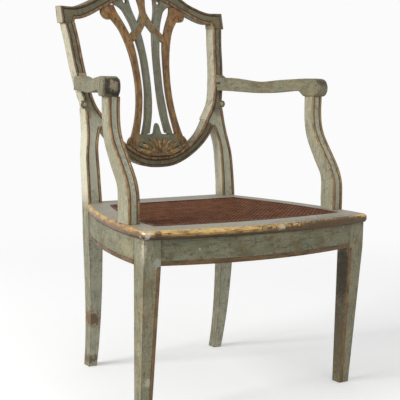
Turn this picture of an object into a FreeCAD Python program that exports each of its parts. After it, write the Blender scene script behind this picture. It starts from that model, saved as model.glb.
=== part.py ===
import FreeCAD, Part
import math
import os

import Sketcher

Vector = FreeCAD.Vector

# Shield back open armchair, painted and parcel gilt, with a caned seat.
# Frame of the model: +Z up, the chair faces -Y, +X is the sitter's left hand side seen from
# the front, and the origin is on the floor under the middle of the chair's box.
# All sizes are millimetres. Every size is written once, here, and kept in the sheet.

SIZES = (
    # seat
    ("seat_height", 425.0, "floor to the flat top of the seat frame"),
    ("frame_thick", 21.0, "thickness of the moulded seat frame"),
    ("rail_depth", 59.0, "height of the seat rails"),
    ("seat_half_front", 312.0, "half width over the moulding at the front corners"),
    ("stile_cover", 2.4, "moulding beyond the stiles where the sides end"),
    ("seat_corner_y", -252.0, "front corner of the moulding"),
    ("front_bow", 41.0, "how far the bowed front stands out at the middle"),
    ("nose_radius", 9.0, "rounding of the moulded edge"),
    ("corner_radius", 16.0, "plan rounding of the front corners"),
    ("side_overhang", 5.0, "moulding beyond the side rails"),
    ("front_overhang", 10.0, "moulding beyond the front rail"),
    ("frame_width_front", 77.0, "width of the front frame member at the middle"),
    ("frame_width_side", 62.0, "width of the side frame members"),
    ("frame_width_back", 56.0, "rear frame member in front of the stiles"),
    ("cane_bow", 20.0, "bow of the front edge of the caned opening"),
    ("rail_thick_front", 24.0, "thickness of the front rail"),
    ("rail_thick_side", 22.0, "thickness of the side rails"),
    ("rail_thick_back", 22.0, "thickness of the rear rail"),
    ("rebate_width", 9.0, "rebate that holds the edge of the cane"),
    ("cane_thick", 1.8, "thickness of the woven cane"),
    ("binder_width", 5.0, "width of the binding cane"),
    ("binder_thick", 1.4, "height of the binding cane"),
    # front legs
    ("leg_square", 42.6, "side of the leg block under the seat"),
    ("leg_inset", 6.8, "leg block inside the moulding's widest point"),
    ("leg_set_back", 9.7, "leg block behind the front corner of the moulding"),
    ("foot_square", 27.6, "side of the foot"),
    ("foot_in", 1.8, "foot centre inwards of the block centre"),
    ("foot_back", 15.0, "foot centre behind the block centre"),
    # rear stile, side view
    ("stile_front", 181.5, "front face of the stile at its knee"),
    ("knee_drop", 95.0, "knee of the stile below the seat top"),
    ("foot_splay", 28.5, "front face of the rear foot behind the knee"),
    ("foot_flare", 2.6, "how late the front of the rear leg sweeps back, as a power"),
    ("heel_flare", 3.4, "how late the back of the rear leg sweeps back, as a power"),
    ("rear_foot_deep", 28.0, "rear foot, front to back"),
    ("stile_deep", 33.0, "stile above the knee, front to back"),
    ("rake_rise", 175.0, "start of the straight raked part above the seat top"),
    ("rake_angle", 14.9, "rake of the back in degrees"),
    # rear stile, front view
    ("stile_out", 219.6, "outer face of the stile at the seat"),
    ("stile_in", 180.8, "inner face of the stile at the seat"),
    ("rear_foot_taper", 16.6, "outer face of the rear foot inside the stile's outer face"),
    ("waist_set", 0.5, "outer face of the upright inside the knuckle's centre"),
    ("knuckle_out", 2.5, "centre of the carved knuckle outside the shield's edge"),
    ("knuckle_rise", 161.5, "centre of the knuckle above the shield's lowest point"),
    ("knuckle_radius", 9.5, "radius of the knuckle"),
    ("knuckle_deep", 13.0, "knuckle, front to back"),
    # shield
    ("shield_gap", 80.0, "lowest point of the shield above the seat top"),
    ("shield_band", 27.0, "width of the shield frame, seen from the front"),
    ("shield_deep", 27.0, "lower rail of the shield, front to back"),
    ("shield_w_top", 233.0, "half width of the shield under the ear"),
    ("shield_w_upper", 226.5, "half width of the shield at its upper quarter"),
    ("shield_w_mid", 221.0, "half width of the shield above the arm"),
    ("shield_w_arm", 212.0, "half width of the shield under the arm"),
    ("shield_w_turn", 198.0, "half width where the side turns in"),
    ("shield_w_cheek", 173.0, "half width at the joint with the lower rail"),
    ("shield_w_chin", 144.5, "half width of the upper chin"),
    ("shield_w_base", 100.0, "half width of the lower chin"),
    ("shield_w_tip", 50.0, "half width just above the lowest point"),
    ("shield_h_top", 361.0, "joint with the crest above the shield's lowest point"),
    ("shield_h_upper", 315.0, "height of the upper quarter point"),
    ("shield_h_mid", 257.0, "height of the point above the arm"),
    ("shield_h_arm", 199.0, "height of the point under the arm"),
    ("shield_h_turn", 149.0, "height where the side turns in"),
    ("shield_h_cheek", 110.0, "height of the joint with the lower rail"),
    ("shield_h_chin", 70.0, "height of the upper chin"),
    ("shield_h_base", 31.0, "height of the lower chin"),
    ("shield_h_tip", 6.0, "height just above the lowest point"),
    ("chin_turn", 100.0, "height above the lowest point where the rail leaves the rake"),
    ("chin_radius", 175.0, "side view radius of the lower rail"),
    # crest
    ("ear_out", 7.0, "ears beyond the sides of the shield"),
    ("ear_high", 42.0, "height of the ear block"),
    ("crest_rise", 76.0, "top of the crest above the ears"),
    ("crest_dip", 1.0, "dip of the crest beside the ears"),
    ("crest_high", 40.0, "height of the crest at the middle"),
    ("crest_deep", 31.0, "crest, front to back"),
    ("crest_dish", 12.0, "how far the middle of the crest stands back"),
    # splat
    ("splat_thick", 12.0, "thickness of the splat"),
    ("splat_foot_set", 2.6, "splat face behind the lower rail's face at its foot"),
    ("splat_mid_set", -0.7, "splat face behind the stiles' face at half height"),
    ("splat_top_set", 12.5, "splat face behind the stiles' face at the crest"),
    ("rib_outer_width", 14.5, "width of an outer rib at its narrowest"),
    ("rib_inner_width", 17.0, "width of an inner rib at its narrowest"),
    ("rib_gap", 10.7, "slot between the ribs of one side at the narrowest"),
    ("rib_centre_gap", 18.0, "slot between the two inner ribs at the narrowest"),
    ("lobe_radius", 18.0, "leaf lobe at the top of the outer ribs"),
    ("lobe_out", 53.8, "centre of the leaf lobe outside the outer rib's narrowest point"),
    ("lobe_drop", 11.0, "centre of the leaf lobe below the top of the ears"),
    ("eye_radius", 6.0, "pierced eye at the top of the inner ribs"),
    ("eye_out", 41.0, "centre of the eye outside the inner edge of the ribs"),
    ("eye_drop", 15.0, "centre of the eye below the crest's arch"),
    ("rib_sweep", 64.0, "how far a rib sweeps outwards at the crest"),
    ("post_half", 12.0, "half width of the middle post at the crest"),
    ("splat_foot_half", 88.0, "half width of the splat's foot with its volutes"),
    ("splat_foot_high", 83.0, "top of the foot above the shield's lowest point"),
    ("finial_high", 30.0, "pointed finial above the foot"),
    ("shell_half", 68.0, "half width of the carved shell"),
    ("shell_high", 41.0, "height of the carved shell"),
    ("shell_relief", 7.0, "relief of the carved shell"),
    ("shell_lobes", 9.0, "number of lobes of the shell"),
    # arms
    ("arm_top_rise", 317.0, "top of the arm's knuckle above the seat top"),
    ("arm_rear_lift", 1.0, "top of the arm's pad at the stile above the top of the knuckle"),
    ("arm_dip", 12.5, "dip of the arm's top below the knuckle"),
    ("arm_dip_at", 205.0, "distance of the dip from the arm's front"),
    ("arm_rear_high", 41.5, "height of the arm at the stile"),
    ("knuckle_high", 44.0, "height of the arm's front end"),
    ("knuckle_long", 52.0, "length of the arm's front end"),
    ("arm_front_high", 30.0, "height of the arm behind the knuckle"),
    ("arm_front_wide", 38.0, "width of the arm at its front"),
    ("arm_mid_wide", 29.0, "width of the arm at half length"),
    ("arm_rear_wide", 32.0, "width of the arm at the stile"),
    ("arm_front_out", 12.0, "arm's front end outwards of the support's middle"),
    ("arm_front_over", 12.0, "arm's front end before the support's top"),
    ("arm_rear_in", 7.0, "arm's middle inwards of the shield's edge at the joint"),
    ("arm_screw_in", 9.5, "arm screw inwards of the shield's edge"),
    ("arm_lap", 12.0, "lap of the arm over the stile's outer face"),
    ("arm_edge", 4.0, "bevel of the upper edges of the arm"),
    ("pad_high", 7.0, "raised pad at the stile"),
    ("pad_long", 19.0, "length of the raised pad"),
    # arm supports
    ("support_thick", 29.5, "thickness of the support"),
    ("support_inset", 5.5, "outer face of the support inside the edge of the moulding"),
    ("support_top_front", -70.5, "front face of the support under the arm"),
    ("support_base_front", -164.5, "front face of the support on the seat"),
    ("support_top_deep", 31.0, "support under the arm, front to back"),
    ("support_base_deep", 46.0, "support on the seat, front to back"),
    # joints and fixings
    ("fit", 0.25, "clearance round a tenon"),
    ("tenon_thick", 9.0, "thickness of the frame tenons"),
    ("tenon_long", 16.0, "length of the frame tenons"),
    ("tenon_shoulder", 9.0, "shoulder above and below a rail's tenon"),
    ("splat_tenon", 9.0, "length of the splat's tongues"),
    ("splat_tongue_thick", 5.0, "thickness of the splat's tongues"),
    ("block_leg", 46.0, "leg of the corner blocks"),
    ("block_high", 42.0, "height of the corner blocks"),
    ("screw_shank", 4.6, "shank of the wood screws"),
    ("screw_head", 9.0, "head of the wood screws"),
    ("screw_head_high", 3.0, "height of the screw heads"),
    ("block_screw_long", 34.0, "length of the corner block screws"),
    ("arm_screw_long", 52.0, "length of the arm screws"),
    ("screw_play", 0.2, "clearance round a screw"),
)

# sizes that follow from the others, as formulas of the sheet
DERIVED = (
    ("leg_out", "=seat_half_front - leg_inset", "outer face of the leg block"),
    ("leg_front", "=seat_corner_y + leg_set_back", "front face of the leg block"),
    ("seat_half_back", "=stile_out + stile_cover", "half width of the moulding at the stiles"),
    ("ear_half", "=shield_w_top + ear_out", "half width over the ears"),
    ("arm_rear_rise", "=arm_top_rise + arm_rear_lift", "top of the pad above the seat top"),
)

doc = FreeCAD.newDocument("shield_back_armchair")
sheet = doc.addObject("Spreadsheet::Sheet", "Sizes")
for row, (alias, size, note) in enumerate(SIZES, start=1):
    sheet.set("A%d" % row, alias)
    sheet.set("B%d" % row, repr(size))
    sheet.setAlias("B%d" % row, alias)
    sheet.set("C%d" % row, note)
for row, (alias, formula, note) in enumerate(DERIVED, start=len(SIZES) + 1):
    sheet.set("A%d" % row, alias)
    sheet.set("B%d" % row, formula)
    sheet.setAlias("B%d" % row, alias)
    sheet.set("C%d" % row, note)
doc.recompute()


def v(alias):
    """Value of one size of the sheet."""
    return float(sheet.get(alias))


# derived heights and lines
SEAT = v("seat_height")
FRAME_LOW = SEAT - v("frame_thick")
RAIL_LOW = FRAME_LOW - v("rail_depth")
KNEE = SEAT - v("knee_drop")
RAKE_Z = SEAT + v("rake_rise")
RAKE = math.radians(v("rake_angle"))
SHIELD_Z = SEAT + v("shield_gap")
JOINT_Z = SHIELD_Z + v("shield_h_top")
EAR_Z = JOINT_Z + v("ear_high")
CREST_Z = EAR_Z + v("crest_rise")
FIT = v("fit")

BACK_R = (RAKE_Z - KNEE) / math.sin(RAKE)


def face_y(z):
    """Front face of the stiles at height z, in side view."""
    base = v("stile_front")
    if z < KNEE:
        return base + v("foot_splay") * (1.0 - z / KNEE) ** v("foot_flare")
    if z < RAKE_Z:
        return base + BACK_R - math.sqrt(BACK_R ** 2 - (z - KNEE) ** 2)
    return base + BACK_R * (1.0 - math.cos(RAKE)) + (z - RAKE_Z) * math.tan(RAKE)


def side_arc(inset):
    """Plan arc of the bowed side, moved inwards by inset: centre x, centre y, radius."""
    y_back = face_y(SEAT)
    run = y_back - v("seat_corner_y")
    fall = v("seat_half_front") - v("seat_half_back")
    radius = (fall ** 2 + run ** 2) / (2.0 * fall)
    return v("seat_half_front") - radius, v("seat_corner_y"), radius - inset


def side_x(inset, y):
    cx, cy, radius = side_arc(inset)
    return cx + math.sqrt(radius ** 2 - (y - cy) ** 2)


SUPPORT_MID_Y = v("support_base_front") + 0.5 * v("support_base_deep")
SUPPORT_OUT = side_x(v("support_inset"), SUPPORT_MID_Y)

# the chair's box runs from the bowed front edge to the back of the ears
FRONT_EDGE = v("seat_corner_y") - v("front_bow")
BACK_EDGE = face_y(EAR_Z) + v("stile_deep")
CREST_BACK = face_y(CREST_Z) + v("crest_dish") + v("crest_deep")
SHIFT = FreeCAD.Placement(Vector(0, -0.5 * (FRONT_EDGE + max(BACK_EDGE, CREST_BACK)), 0),
                          FreeCAD.Rotation())


# small shape helpers
def line(a, b):
    return Part.LineSegment(a, b).toShape()


def arc(a, m, b):
    return Part.Arc(a, m, b).toShape()


def xz(points):
    return [Vector(x, 0, z) for x, z in points]


def yz(points):
    return [Vector(0, y, z) for y, z in points]


def spline(points, start=None, end=None):
    """Smooth edge through points, with tangents at its ends where they are given."""
    curve = Part.BSplineCurve()
    if start is not None and end is not None:
        curve.interpolate(Points=points, InitialTangent=start, FinalTangent=end)
    else:
        curve.interpolate(Points=points)
    return curve.toShape()


def chain(points):
    return [line(a, b) for a, b in zip(points[:-1], points[1:])]


def face(edges):
    return Part.Face(Part.Wire(edges))


def polygon(points):
    return Part.Face(Part.makePolygon(points + points[:1]))


def through_y(shape, y0=-400.0, y1=500.0):
    """Prism of a front view outline that lies in the XZ plane."""
    moved = shape.copy()
    moved.translate(Vector(0, y0, 0))
    return moved.extrude(Vector(0, y1 - y0, 0))


def through_x(shape, x0, x1):
    """Prism of a side view outline that lies in the YZ plane."""
    moved = shape.copy()
    moved.translate(Vector(x0, 0, 0))
    return moved.extrude(Vector(x1 - x0, 0, 0))


def box(x0, x1, y0, y1, z0, z1):
    return Part.makeBox(x1 - x0, y1 - y0, z1 - z0, Vector(x0, y0, z0))


def grown(box_limits, play):
    x0, x1, y0, y1, z0, z1 = box_limits
    return box(x0 - play, x1 + play, y0 - play, y1 + play, z0 - play, z1 + play)


def mirrored(shape):
    return shape.mirror(Vector(0, 0, 0), Vector(1, 0, 0))


def both(shape):
    return shape.fuse(mirrored(shape))


NODES = []


def feature(label, shape):
    """Sub-part whose shape is a curved form made with Part's own functions."""
    item = doc.addObject("Part::Feature", label)
    item.Label = label
    if shape.ShapeType == "Compound" and len(shape.Solids) == 1:
        shape = shape.Solids[0]
    item.Shape = shape
    item.Placement = SHIFT
    NODES.append(item)
    return item


def mirror_of(label, source):
    """Left hand sub-part: the mirror image of the right hand one."""
    item = doc.addObject("Part::Mirroring", label)
    item.Label = label
    item.Source = source
    item.Normal = Vector(1, 0, 0)
    item.Base = Vector(0, 0, 0)
    NODES.append(item)
    return item


# side view slabs
def stile_slab(x0, x1):
    """Side view of a whole stile: sabre foot, knee, raked straight."""
    deep = v("stile_deep")
    y0 = v("stile_front")
    run = v("foot_splay") + v("rear_foot_deep") - deep
    mid_high = 0.5 * (KNEE + RAKE_Z)
    top = CREST_Z + 40.0
    shares = (1.0, 0.86, 0.72, 0.58, 0.44, 0.3, 0.15, 0.0)
    shin = [Vector(0, face_y(KNEE * (1.0 - f)), KNEE * (1.0 - f)) for f in shares]
    heel = [Vector(0, y0 + deep + run * f ** v("heel_flare"), KNEE * (1.0 - f)) for f in shares]
    bend = [Vector(0, y0, KNEE), Vector(0, face_y(mid_high), mid_high),
            Vector(0, face_y(RAKE_Z), RAKE_Z)]
    head = Vector(0, face_y(top), top)
    step = Vector(0, deep, 0)
    edges = [spline(shin), arc(*bend), line(bend[2], head), line(head, head + step),
             line(head + step, bend[2] + step),
             arc(bend[2] + step, bend[1] + step, bend[0] + step),
             spline(heel[::-1]), line(heel[0], shin[0])]
    return through_x(face(edges), x0, x1)


def raked_slab(set_back, thick, x0, x1):
    """Flat slab parallel to the raked face of the stiles."""
    z0 = RAKE_Z - 60.0
    z1 = CREST_Z + 60.0
    y0 = face_y(RAKE_Z) - 60.0 * math.tan(RAKE) + set_back
    y1 = face_y(z1) + set_back
    return through_x(polygon(yz([(y0, z0), (y1, z1), (y1 + thick, z1), (y0 + thick, z0)])), x0, x1)


CHIN_Z = SHIELD_Z + v("chin_turn")
CHIN_LOW = CHIN_Z - v("chin_radius") * math.sin(RAKE)
CHIN_Y = face_y(CHIN_Z) - v("chin_radius") * (1.0 - math.cos(RAKE))


def chin_slab(set_back, thick, x0, x1):
    """Side view of the shield's lower rail: raked above, upright at its lowest part."""
    half = math.radians(0.5 * v("rake_angle"))
    radius = v("chin_radius")
    low = SHIELD_Z - 40.0
    high = CHIN_Z + 150.0
    p0 = Vector(0, CHIN_Y + set_back, low)
    p1 = Vector(0, CHIN_Y + set_back, CHIN_LOW)
    pm = Vector(0, CHIN_Y + set_back + radius * (1.0 - math.cos(half)),
                CHIN_LOW + radius * math.sin(half))
    p2 = Vector(0, face_y(CHIN_Z) + set_back, CHIN_Z)
    p3 = Vector(0, face_y(CHIN_Z) + 150.0 * math.tan(RAKE) + set_back, high)
    step = Vector(0, thick, 0)
    edges = [line(p0, p1), arc(p1, pm, p2), line(p2, p3), line(p3, p3 + step),
             line(p3 + step, p2 + step), arc(p2 + step, pm + step, p1 + step),
             line(p1 + step, p0 + step), line(p0 + step, p0)]
    return through_x(face(edges), x0, x1)


def splat_slab(set_back, thick, x0, x1):
    """Side view of the splat: one arc, hollow towards the sitter."""
    z0 = SHIELD_Z + v("shield_band")
    z2 = EAR_Z + 26.0
    z1 = 0.5 * (z0 + z2)
    y0 = CHIN_Y + v("splat_foot_set") + set_back
    y1 = face_y(z1) + v("splat_mid_set") + set_back
    y2 = face_y(z2) + v("splat_top_set") + set_back
    whole = arc(Vector(0, y0, z0), Vector(0, y1, z1), Vector(0, y2, z2)).Curve
    centre = whole.Center
    radius = whole.Radius

    side = -1.0 if centre.y > y1 else 1.0

    def on_arc(z):
        return Vector(0, centre.y + side * math.sqrt(radius ** 2 - (z - centre.z) ** 2), z)

    low = SHIELD_Z + 2.0
    high = CREST_Z
    a = on_arc(low)
    m = on_arc(0.5 * (low + high))
    b = on_arc(high)
    step = Vector(0, thick, 0)
    edges = [arc(a, m, b), line(b, b + step), arc(b + step, m + step, a + step),
             line(a + step, a)]
    return through_x(face(edges), x0, x1)


# front view outlines
OUTER = [(v("shield_w_top") + 1.3, v("shield_h_top") + 12.0),
         (v("shield_w_upper"), v("shield_h_upper")),
         (v("shield_w_mid"), v("shield_h_mid")),
         (v("shield_w_arm"), v("shield_h_arm")),
         (v("shield_w_turn"), v("shield_h_turn")),
         (v("shield_w_cheek"), v("shield_h_cheek")),
         (v("shield_w_chin"), v("shield_h_chin")),
         (v("shield_w_base"), v("shield_h_base")),
         (v("shield_w_tip"), v("shield_h_tip")),
         (0.0, 0.0)]


def shield_curves():
    """Outer curve of the shield's right half, and its inner curve one band width inside."""
    points = xz([(x, SHIELD_Z + h) for x, h in OUTER])
    outer = Part.BSplineCurve()
    start = (points[1] - points[0]).normalize()
    outer.interpolate(Points=points, InitialTangent=start, FinalTangent=Vector(-1, 0, 0))
    band = v("shield_band")
    inner_points = []
    for point in points:
        along = outer.tangent(outer.parameter(point))[0]
        inner_points.append(point + Vector(along.z, 0, -along.x) * -band)
    if inner_points[0].x > points[0].x:
        inner_points = [p * 2.0 - q for p, q in zip(points, inner_points)]
    inner = Part.BSplineCurve()
    inner.interpolate(Points=inner_points, InitialTangent=start, FinalTangent=Vector(-1, 0, 0))
    return outer, inner, points, inner_points


SHIELD_OUT, SHIELD_IN, OUT_POINTS, IN_POINTS = shield_curves()
BAND = face([SHIELD_OUT.toShape(), line(OUT_POINTS[-1], IN_POINTS[-1]),
             SHIELD_IN.toShape(), line(IN_POINTS[0], OUT_POINTS[0])])



def shield_x(z):
    """Half width of the shield's outer curve at height z."""
    low = SHIELD_OUT.FirstParameter
    high = SHIELD_OUT.LastParameter
    for _ in range(40):
        mid = 0.5 * (low + high)
        if SHIELD_OUT.value(mid).z > z:
            low = mid
        else:
            high = mid
    return SHIELD_OUT.value(0.5 * (low + high)).x


KNUCKLE_Z = SHIELD_Z + v("knuckle_rise")
KNUCKLE_X = shield_x(KNUCKLE_Z) + v("knuckle_out")

# the joint between stile and lower rail lies square across the band
CHEEK = Vector(v("shield_w_cheek") - 4.0, 0, SHIELD_Z + v("shield_h_cheek") - 5.0)
CHEEK_U = SHIELD_OUT.parameter(CHEEK)
CHEEK_P = SHIELD_OUT.value(CHEEK_U)
CHEEK_T = SHIELD_OUT.tangent(CHEEK_U)[0]
if CHEEK_T.z > 0:
    CHEEK_T = CHEEK_T * -1.0
CHEEK_N = Vector(CHEEK_T.z, 0, -CHEEK_T.x)
if CHEEK_N.x > 0:
    CHEEK_N = CHEEK_N * -1.0


def beyond_joint(side, reach=900.0):
    """Prism of everything on one side of the cheek joint: +1 the stile's side, -1 the rail's."""
    out = CHEEK_P - CHEEK_N * reach
    inn = CHEEK_P + CHEEK_N * reach
    push = CHEEK_T * (-side * reach)
    return through_y(polygon([out, inn, inn + push, out + push]))


def cheek_tongue(play):
    """Tongue of the lower rail that enters the stile."""
    mid = CHEEK_P + CHEEK_N * (0.5 * v("shield_band"))
    half = 0.27 * v("shield_band") + play
    long = v("tenon_long") + play
    back = 10.0
    corners = [mid + CHEEK_N * half + CHEEK_T * back, mid - CHEEK_N * half + CHEEK_T * back,
               mid - CHEEK_N * half - CHEEK_T * long, mid + CHEEK_N * half - CHEEK_T * long]
    slab = raked_slab(v("tenon_thick") - play, v("tenon_thick") + 2.0 * play, 60, 300)
    return through_y(polygon(corners)).common(slab)


def stile_outline():
    """Front view of the right stile: tapered leg, upright and shield side in one outline."""
    out = v("stile_out")
    inn = v("stile_in")
    h = SHIELD_Z
    waist = KNUCKLE_X - v("waist_set")
    swell = out - waist
    rise = v("knuckle_rise")
    cheek_w = v("shield_w_cheek")
    cheek_h = h + v("shield_h_cheek")
    leg = polygon(xz([(out - v("rear_foot_taper"), 0), (out, RAIL_LOW), (out, SEAT + 6.0),
                      (inn, SEAT + 6.0), (inn, RAIL_LOW), (inn, 0)]))
    outer = xz([(out, SEAT + 5.0), (out - 0.05 * swell, SEAT + 0.77 * v("shield_gap")),
                (waist + 0.77 * swell, h + 0.26 * rise), (waist + 0.32 * swell, h + 0.5 * rise),
                (waist + 0.083 * swell, h + 0.72 * rise), (waist, h + 0.93 * rise)])
    inner = xz([(cheek_w - 7.0, cheek_h + 8.0), (cheek_w - 3.5, cheek_h - 8.5),
                (cheek_w + 3.0, cheek_h - 29.0), (inn + 0.7, h + 0.31 * rise),
                (inn + 1.2, h + 4.0), (inn + 0.6, SEAT + 0.37 * v("shield_gap")),
                (inn, SEAT + 5.0)])
    upright = face([spline(outer, Vector(0, 0, 1), (outer[-1] - outer[-2]).normalize()),
                    *chain([outer[-1], Vector(waist - 8.0, 0, h + rise),
                            Vector(cheek_w + 2.0, 0, cheek_h + 28.0), inner[0]]),
                    spline(inner, (inner[1] - inner[0]).normalize(), Vector(0, 0, -1)),
                    line(inner[-1], outer[0])])
    return leg, upright


def crest_outline():
    """Front view of the whole crest with its ears."""
    half = v("ear_half")
    top = EAR_Z
    rise = v("crest_rise")
    dip = v("crest_dip")
    under = CREST_Z - v("crest_high")
    inner_x = v("shield_w_top") - 1.06 * v("shield_band")
    upper = [(half, 0.0), (half - 37.0, -dip), (half - 60.0, 0.053 * rise),
             (half - 80.0, 0.151 * rise), (half - 100.0, 0.27 * rise), (half - 117.0, 0.42 * rise),
             (half - 140.0, 0.645 * rise), (half - 180.0, 0.905 * rise), (0.0, rise)]
    lower = [(inner_x + 0.9, -31.0), (inner_x - 14.6, -30.5), (inner_x - 34.6, -25.0),
             (inner_x - 54.6, -16.5), (inner_x - 73.6, -7.0), (inner_x - 94.6, 3.0),
             (inner_x - 124.6, 18.0), (inner_x - 164.6, 31.0), (0.0, under - top)]
    up = xz([(x, top + z) for x, z in upper[1:]] + [(-x, top + z) for x, z in upper[-2:0:-1]])
    low = xz([(x, top + z) for x, z in lower] + [(-x, top + z) for x, z in lower[-2::-1]])
    block = JOINT_Z
    edges = [line(Vector(half, 0, top), up[0]),
             spline(up),
             *chain([up[-1], Vector(-half, 0, top), Vector(-half, 0, block),
                     Vector(-inner_x, 0, block), low[-1]]),
             spline(low[::-1]),
             *chain([low[0], Vector(inner_x, 0, block), Vector(half, 0, block),
                     Vector(half, 0, top)])]
    return face(edges)


def crest_slab(set_back, thick):
    """Dished and raked slab of the crest."""
    half = v("ear_half") + 5.0
    dish = v("crest_dish")
    z0 = JOINT_Z - 20.0
    z1 = CREST_Z + 20.0
    y0 = face_y(z0) + set_back

    def p(x, y):
        return Vector(x, y, z0)

    edges = [arc(p(half, y0), p(0, y0 + dish), p(-half, y0)),
             line(p(-half, y0), p(-half, y0 + thick)),
             arc(p(-half, y0 + thick), p(0, y0 + dish + thick), p(half, y0 + thick)),
             line(p(half, y0 + thick), p(half, y0))]
    return face(edges).extrude(Vector(0, face_y(z1) - face_y(z0), z1 - z0))


CREST_PRISM = through_y(crest_outline())
BAND_PRISM = through_y(BAND)


# tongues
def stile_top_tongue(play):
    mid = v("shield_w_top") - 0.52 * v("shield_band")
    half = 0.27 * v("shield_band") + play
    rect = polygon(xz([(mid - half, JOINT_Z - 8.0), (mid + half, JOINT_Z - 8.0),
                       (mid + half, JOINT_Z + v("tenon_long") + play),
                       (mid - half, JOINT_Z + v("tenon_long") + play)]))
    slab = raked_slab(v("tenon_thick") + 2.0 - play, v("tenon_thick") + 2.0 * play, 150, 300)
    return through_y(rect).common(slab)


def splat_tongues(play):
    """Tongues at the splat's head and foot."""
    back = 0.5 * (v("splat_thick") - v("splat_tongue_thick")) - play
    slab = splat_slab(back, v("splat_tongue_thick") + 2.0 * play, -150, 150)
    long = v("splat_tenon") + play
    head = CREST_Z - v("crest_high")
    parts = []
    centre = 8.0 + play
    parts.append(through_y(polygon(xz([(-centre, head - 12.0), (centre, head - 12.0),
                                       (centre, head + long), (-centre, head + long)]))))
    lobe_x = (0.5 * v("rib_centre_gap") + v("rib_inner_width") + v("rib_gap")
              + v("rib_outer_width") + v("lobe_out"))
    x0 = lobe_x - 12.0 - play
    x1 = lobe_x + 2.0 + play
    z_side = EAR_Z + 4.0
    side = through_y(polygon(xz([(x0, z_side - 16.0), (x1, z_side - 16.0),
                                 (x1, z_side + long), (x0, z_side + long)])))
    parts.append(side)
    parts.append(mirrored(side))
    foot = SHIELD_Z + v("shield_band")
    half = 0.5 * v("splat_foot_half") + play
    parts.append(through_y(polygon(xz([(-half, foot - long), (half, foot - long),
                                       (half, foot + 12.0), (-half, foot + 12.0)]))))
    rects = parts[0].fuse(parts[1:])
    return rects.common(slab)


def rail_tenon_front():
    """Limits of the front rail's tenon in the right leg."""
    x0 = v("leg_out") - v("leg_square")
    y0 = v("leg_front") + 0.25 * v("leg_square")
    return (x0 - 6.0, x0 + v("tenon_long"), y0, y0 + v("tenon_thick"),
            RAIL_LOW + v("tenon_shoulder"), FRAME_LOW - v("tenon_shoulder"))


def side_tenon_front():
    """Limits of the right side rail's tenon in the front leg."""
    y1 = v("leg_front") + v("leg_square")
    x1 = v("leg_out") - 0.22 * v("leg_square")
    return (x1 - v("tenon_thick"), x1, y1 - v("tenon_long"), y1 + 6.0,
            RAIL_LOW + v("tenon_shoulder"), FRAME_LOW - v("tenon_shoulder"))


def side_tenon_back():
    """Limits of the right side rail's tenon in the stile."""
    y0 = face_y(0.5 * (RAIL_LOW + FRAME_LOW))
    x1 = v("stile_out") - 0.3 * (v("stile_out") - v("stile_in"))
    return (x1 - v("tenon_thick"), x1, y0 - 8.0, y0 + v("tenon_long"),
            RAIL_LOW + v("tenon_shoulder"), FRAME_LOW - v("tenon_shoulder"))


def back_tenon():
    """Limits of the rear rail's tenon in the right stile."""
    x0 = v("stile_in")
    y0 = face_y(RAIL_LOW) + 0.42 * v("stile_deep")
    return (x0 - 6.0, x0 + 0.3 * (v("stile_out") - v("stile_in")), y0, y0 + v("tenon_thick"),
            RAIL_LOW + v("tenon_shoulder"), FRAME_LOW - v("tenon_shoulder"))


def support_tenon():
    """Limits of the right support's tenon through the seat frame into the side rail."""
    mid_x = SUPPORT_OUT - 0.3 * v("support_thick")
    mid_y = v("support_base_front") + 0.5 * v("support_base_deep")
    half_y = 0.28 * v("support_base_deep")
    return (mid_x - 4.0, mid_x + 4.0, mid_y - half_y, mid_y + half_y,
            FRAME_LOW - v("tenon_long"), SEAT + 4.0)


def support_head_tenon():
    """Limits of the right support's tenon in the arm."""
    mid_x = SUPPORT_OUT - 0.5 * v("support_thick")
    mid_y = v("support_top_front") + 0.5 * v("support_top_deep")
    under = SEAT + v("arm_top_rise") - v("knuckle_high")
    half_x = 0.5 * v("tenon_thick")
    half_y = 0.25 * v("support_top_deep")
    return (mid_x - half_x, mid_x + half_x, mid_y - half_y, mid_y + half_y,
            under - 4.0, under + v("tenon_long"))


# screws
def wood_screw(tip, direction, long, play=0.0):
    """Countersunk wood screw whose head face lies at tip, pointing along direction."""
    shank = v("screw_shank") / 2.0 + play
    head = v("screw_head") / 2.0 + play
    high = v("screw_head_high")
    body = Part.makeCylinder(shank, long + play, tip, direction)
    cap = Part.makeCone(head, shank, high, tip, direction)
    return body.fuse(cap).removeSplitter()


def arm_screw_axis():
    """Head point and direction of the right arm's screw, from behind the stile."""
    z = SEAT + v("arm_rear_rise") - 0.5 * v("arm_rear_high")
    x = shield_x(z) - v("arm_screw_in")
    y = face_y(z) + v("stile_deep") - 0.4
    return Vector(x, y, z), Vector(-math.sin(ARM_ANGLE), -math.cos(ARM_ANGLE), 0)


# arms
ARM_FRONT = Vector(SUPPORT_OUT - 0.5 * v("support_thick") + v("arm_front_out"),
                   v("support_top_front") - v("arm_front_over"), 0)
ARM_REAR_Z = SEAT + v("arm_rear_rise") - 0.5 * v("arm_rear_high")
ARM_REAR = Vector(shield_x(ARM_REAR_Z) - v("arm_rear_in"), face_y(ARM_REAR_Z), 0)
ARM_LONG = (ARM_REAR - ARM_FRONT).Length
ARM_ANGLE = math.atan2(ARM_FRONT.x - ARM_REAR.x, ARM_REAR.y - ARM_FRONT.y)


def arm_side(points_upper, points_under, end):
    """Side view face of the arm from its two smooth edges, closed behind at end."""
    upper = [Vector(0, a, z) for a, z in points_upper]
    under = [Vector(0, a, z) for a, z in points_under]
    edges = [spline(upper),
             *chain([upper[-1], Vector(0, end, upper[-1].z), Vector(0, end, under[0].z),
                     under[0]]),
             spline(under), line(under[-1], upper[0])]
    return face(edges)


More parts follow.
